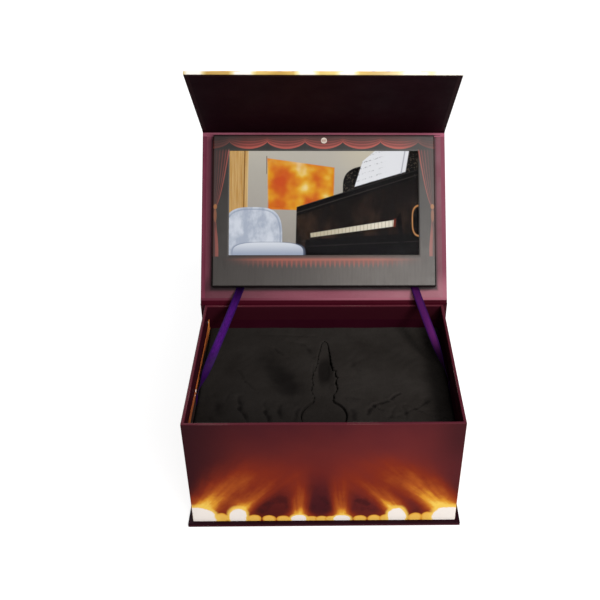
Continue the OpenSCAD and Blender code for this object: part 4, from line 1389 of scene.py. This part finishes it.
glass, glass_shader, glass_place = blank("cover_glass", 0.03, Transmission_Weight=1.0, IOR=1.035)
feed(glass_shader, "Roughness", mottle(glass_place, 40.0, 0.02, 0.05))
glass_half_x = 80.5 * mm
glass_start, glass_end = 33.0 * mm, 126.0 * mm
glass_low = 7.16 * mm
cover_glass = leaf("cover_glass", glass_half_x, glass_start, glass_end, glass_low, glass_top - 0.02 * mm,
                   to_lid, corner=0.8 * mm, edge=0.15 * mm)
fix(cover_glass, glass, "lid", "display_glass", "screen_glass")

# ---------- Light sensor ----------
# A small round ceramic cell let into the panel's top edge, with a zigzag track under clear resin.

sensor_v = 131.9 * mm
sensor_r = 2.45 * mm


def cell_disc(name):
    """A turned form: columns run round it; rows follow its profile from the middle of the back, up
    the side, over a rounded rim and across the slightly domed face to the middle."""
    profile = np.array([
        (0.0, -1.9), (0.96, -1.9), (1.0, -1.8), (1.0, 0.02), (0.985, 0.10), (0.95, 0.16), (0.90, 0.19),
        (0.84, 0.15), (0.80, 0.13), (0.6, 0.16), (0.4, 0.18), (0.2, 0.195), (0.0, 0.20),
    ])
    turn = np.linspace(0, 2 * math.pi, 49)[:-1]
    r, n = profile[:, 0][:, None] * sensor_r, profile[:, 1][:, None] * mm
    local = np.stack([r * np.cos(turn), sensor_v + r * np.sin(turn), panel_high + n + 0 * turn], axis=-1)
    flat = np.stack([r * np.cos(turn) / sensor_r, r * np.sin(turn) / sensor_r], axis=-1)
    flat = np.concatenate([flat, flat[:, :1]], axis=1)
    return lay_grid(name, to_lid(local), uv=flat, loop_cols=True, weld=5e-6)


cell, cell_shader, cell_place = blank("sensor_cell", 0.3, Specular_IOR_Level=0.4)
cell_x, cell_y, _ = axes(wrap_map(cell_shader))
zig = scaled(sums("PINGPONG", cell_x + 2.0, 0.15), 5.0, -0.42)
track = soft_step(abs(cell_y - zig), 0.26, 0.12)
inner = soft_step(sums("SQRT", cell_x * cell_x + cell_y * cell_y), 0.78, 0.70)
cell_colour = over(mottle(cell_place, 900.0), "b9ada2", "d6ccc0")
cell_colour = over(track * inner, cell_colour, "8a5444")
feed(cell_shader, "Base Color", cell_colour)
grain(cell_shader, cell_place, 2500.0, 0.00001)
fix(cell_disc("sensor_cell"), cell, "lid", "sensor_ceramic", "light_sensor")

# ---------- Electronics ----------
# Inside the panel's frame: the display module, its film cable, the driver board with its chips,
# a foil pouch battery, a speaker, the charging port and their leads.

tin, tin_shader, tin_place = blank("tinned_steel", 0.35, Metallic=1.0)
feed(tin_shader, "Base Color", over(mottle(tin_place, 150.0), "8e9094", "b4b6b8"))
feed(tin_shader, "Roughness", mottle(tin_place, 900.0, 0.26, 0.44))
refinish(tin, "lcd_module", "usb_port")

solder_mask, mask_shader, mask_place = blank("solder_mask", 0.35, Specular_IOR_Level=0.5)
tracks = add("TexBrick", mask_place, None, None, None, 420.0, 0.04, 0.2, 0.0, 0.9, 0.3, out=1)
mask_colour = over(mottle(mask_place, 200.0), "123f24", "1d5532")
mask_colour = over(tracks * 0.5, mask_colour, "3b7d50")
feed(mask_shader, "Base Color", mask_colour)
refinish(solder_mask, "main_board")


def cloudy(name, dark, light, scale, rough, bump_scale, bump_height, **sockets):
    """A plain moulded or rolled stuff: two near tones in slow clouds over a fine surface grain."""
    mat, shader, place = blank(name, rough, **sockets)
    feed(shader, "Base Color", over(mottle(place, scale), dark, light))
    feed(shader, "Roughness", mottle(place, 2 * scale, rough - 0.05, rough + 0.05))
    grain(shader, place, bump_scale, bump_height)
    return mat


refinish(cloudy("chip_resin", "141416", "1f1f22", 400.0, 0.5, 2200.0, 0.00002), "board_chips", "speaker")
refinish(cloudy("copper_film", "9c5a26", "c07a3a", 200.0, 0.4, 1500.0, 0.00002), "lcd_flex")
refinish(cloudy("pouch_foil", "a4a7ab", "c2c4c6", 90.0, 0.38, 260.0, 0.00025, Metallic=0.85), "battery")
refinish(cloudy("lead_sleeve", "6e1414", "8f1d1a", 300.0, 0.5, 2000.0, 0.00002), "battery_leads",
         "speaker_leads")
refinish(cloudy("sensor_sleeve", "26262a", "36363a", 300.0, 0.5, 2000.0, 0.00002), "sensor_cable")

# ---------- Ribbons ----------
# Two stays of woven purple satin, glued under the panel and into the gap beside the foam, which
# hold the lid back. Each turns a quarter as it comes down.

satin, satin_shader, satin_at = blank("purple_satin", 0.42, Specular_IOR_Level=0.08)
satin_s, satin_gone, _ = axes(wrap_map(satin_shader))
satin_place = joined(satin_s * 4.2, satin_gone * 0.35, 0.0)
threads = noise(satin_place, 900.0, 2.0, 0.5)
slubs = noise(satin_place, 120.0, 2.0, 0.5)
satin_colour = over(soft_step(threads, 0.3, 0.7), "280644", "460f6b")
satin_colour = over(soft_step(slubs, 0.5, 0.8) * 0.5, satin_colour, "5a1c7e")
satin_side = axes(satin_at)[0]
right_one = soft_step(satin_side, 0.0, 20 * mm)
satin_colour = over(right_one * 0.68, satin_colour, "461544")
# Painted light: the right ribbon is lifted paler near the right wall, against the wall's shadow.
painted_light_right = soft_step(satin_side, 80 * mm, 87 * mm) * 0.30
satin_colour = over(painted_light_right, satin_colour, "762878")
# Painted shadow: each ribbon darkens towards its root under the panel, the right one less.
root_shadow = soft_step(satin_gone, 34 * mm, 9 * mm) * scaled(right_one, -0.60, 0.84)
satin_colour = over(root_shadow, satin_colour, "0a0110")
# Painted shade: each ribbon darkens down its lower end towards the gap beside the foam, the right one from
# higher up and more.
low_shade_from = scaled(right_one, -10 * mm, 62 * mm)
low_shade = soft_step((satin_gone - low_shade_from) / (22 * mm), 0.0, 1.0) * scaled(right_one, 0.10, 0.65)
satin_colour = over(low_shade, satin_colour, "12041c")
# Darker towards the edges: the woven selvedges, with a painted sheen down the middle.
selvedge = soft_step(abs(satin_s), 0.0014, 0.0030)
satin_colour = over(selvedge * 0.75, satin_colour, "1a0638")
feed(satin_shader, "Base Color", satin_colour)
feed(satin_shader, "Normal", add("Bump", 1.0, 0.00005, 1.0, threads))
ribbon_w = 6.4 * mm
ribbon_t = 0.26 * mm


def ribbon(name, side, leave_x, low_y, wall_x, turn_shape, node):
    """A band along a line from under the panel to the tray's wall and a little down beside the foam.
    Rows follow the line with a slight sag; the width's direction swings from straight across to
    upright along the wall; columns run round a thin section with rounded, thicker selvedges."""
    off_lining = 0.42 * mm
    top = to_lid(np.array([leave_x, panel_start, off_lining]))
    under = to_lid(np.array([leave_x, 20.0 * mm, off_lining]))
    low = np.array([wall_x, low_y, foam_z + 4.0 * mm])
    tuck = low + np.array([0.0, -3.0 * mm, -9.0 * mm])
    steps, lead = 72, 7
    t = np.linspace(0, 1, steps)[:, None]
    run = top + (low - top) * t
    sag = np.sin(np.pi * t)
    outward = np.array([side * 1.0, 0, 0]) * 0.9 * mm
    run = run + sag * np.array([0.0, -0.5 * mm, -1.1 * mm]) + outward * sag * t
    lead_in = under + (top - under) * np.linspace(0, 1, lead)[:-1, None]
    lead_out = low + (tuck - low) * np.linspace(0, 1, 9)[1:, None]
    line = np.concatenate([lead_in, run, lead_out])
    t = np.clip((np.arange(len(line)) - (lead - 1)) / (steps - 1), 0, 1)[:, None]
    ease = t ** turn_shape
    ease = ease * ease * (3 - 2 * ease)
    start_way, end_way = np.array([1.0, 0.0, 0.0]), np.array([0.0, 0.97, -0.26]) * -side
    way = start_way * np.cos(ease * math.pi / 2) + end_way * np.sin(ease * math.pi / 2)
    along = np.gradient(line, axis=0)
    along = along / np.linalg.norm(along, axis=1, keepdims=True)
    way = way - along * (way * along).sum(axis=1, keepdims=True) * 0.85
    way = way / np.linalg.norm(way, axis=1, keepdims=True)
    face = np.cross(along, way)
    face = face / np.linalg.norm(face, axis=1, keepdims=True)
    s = np.array([-1.0, -0.96, -0.9, -0.6, -0.3, 0.0, 0.3, 0.6, 0.9, 0.96, 1.0])
    thick = np.array([0.5, 1.15, 1.0, 0.8, 0.8, 0.8, 0.8, 0.8, 1.0, 1.15, 0.5]) * ribbon_t / 2
    s_loop, thick_loop = np.concatenate([s, s[::-1]]), np.concatenate([thick, -thick[::-1]])
    middle = np.sin(np.pi * np.clip(t, 0, 1)) * 0.35 * mm
    cup = middle * (1 - s_loop[None] ** 2)
    points = (line[:, None] + way[:, None] * (s_loop[None, :, None] * ribbon_w / 2)
              + face[:, None] * (thick_loop[None] + cup)[..., None])
    gone = np.cumsum(np.linalg.norm(np.diff(line, axis=0, prepend=line[:1]), axis=1))
    flat = np.stack([np.broadcast_to(s_loop * ribbon_w / 2, points.shape[:2]),
                     np.broadcast_to(gone[:, None], points.shape[:2])], axis=-1)
    flat = np.concatenate([flat[:1], flat])
    flat = np.concatenate([flat, flat[:, :1]], axis=1)
    piece = lay_grid(name, capped(points), uv=flat, loop_cols=True)
    piece.data.materials.append(satin)
    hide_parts(node)
    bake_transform(piece)


ribbon("stay_left", -1, -68.0 * mm, -16.3 * mm, -94.05 * mm, 2.3, "ribbon_left")
ribbon("stay_right", 1, 74.0 * mm, -2.3 * mm, 94.55 * mm, 1.35, "ribbon_right")
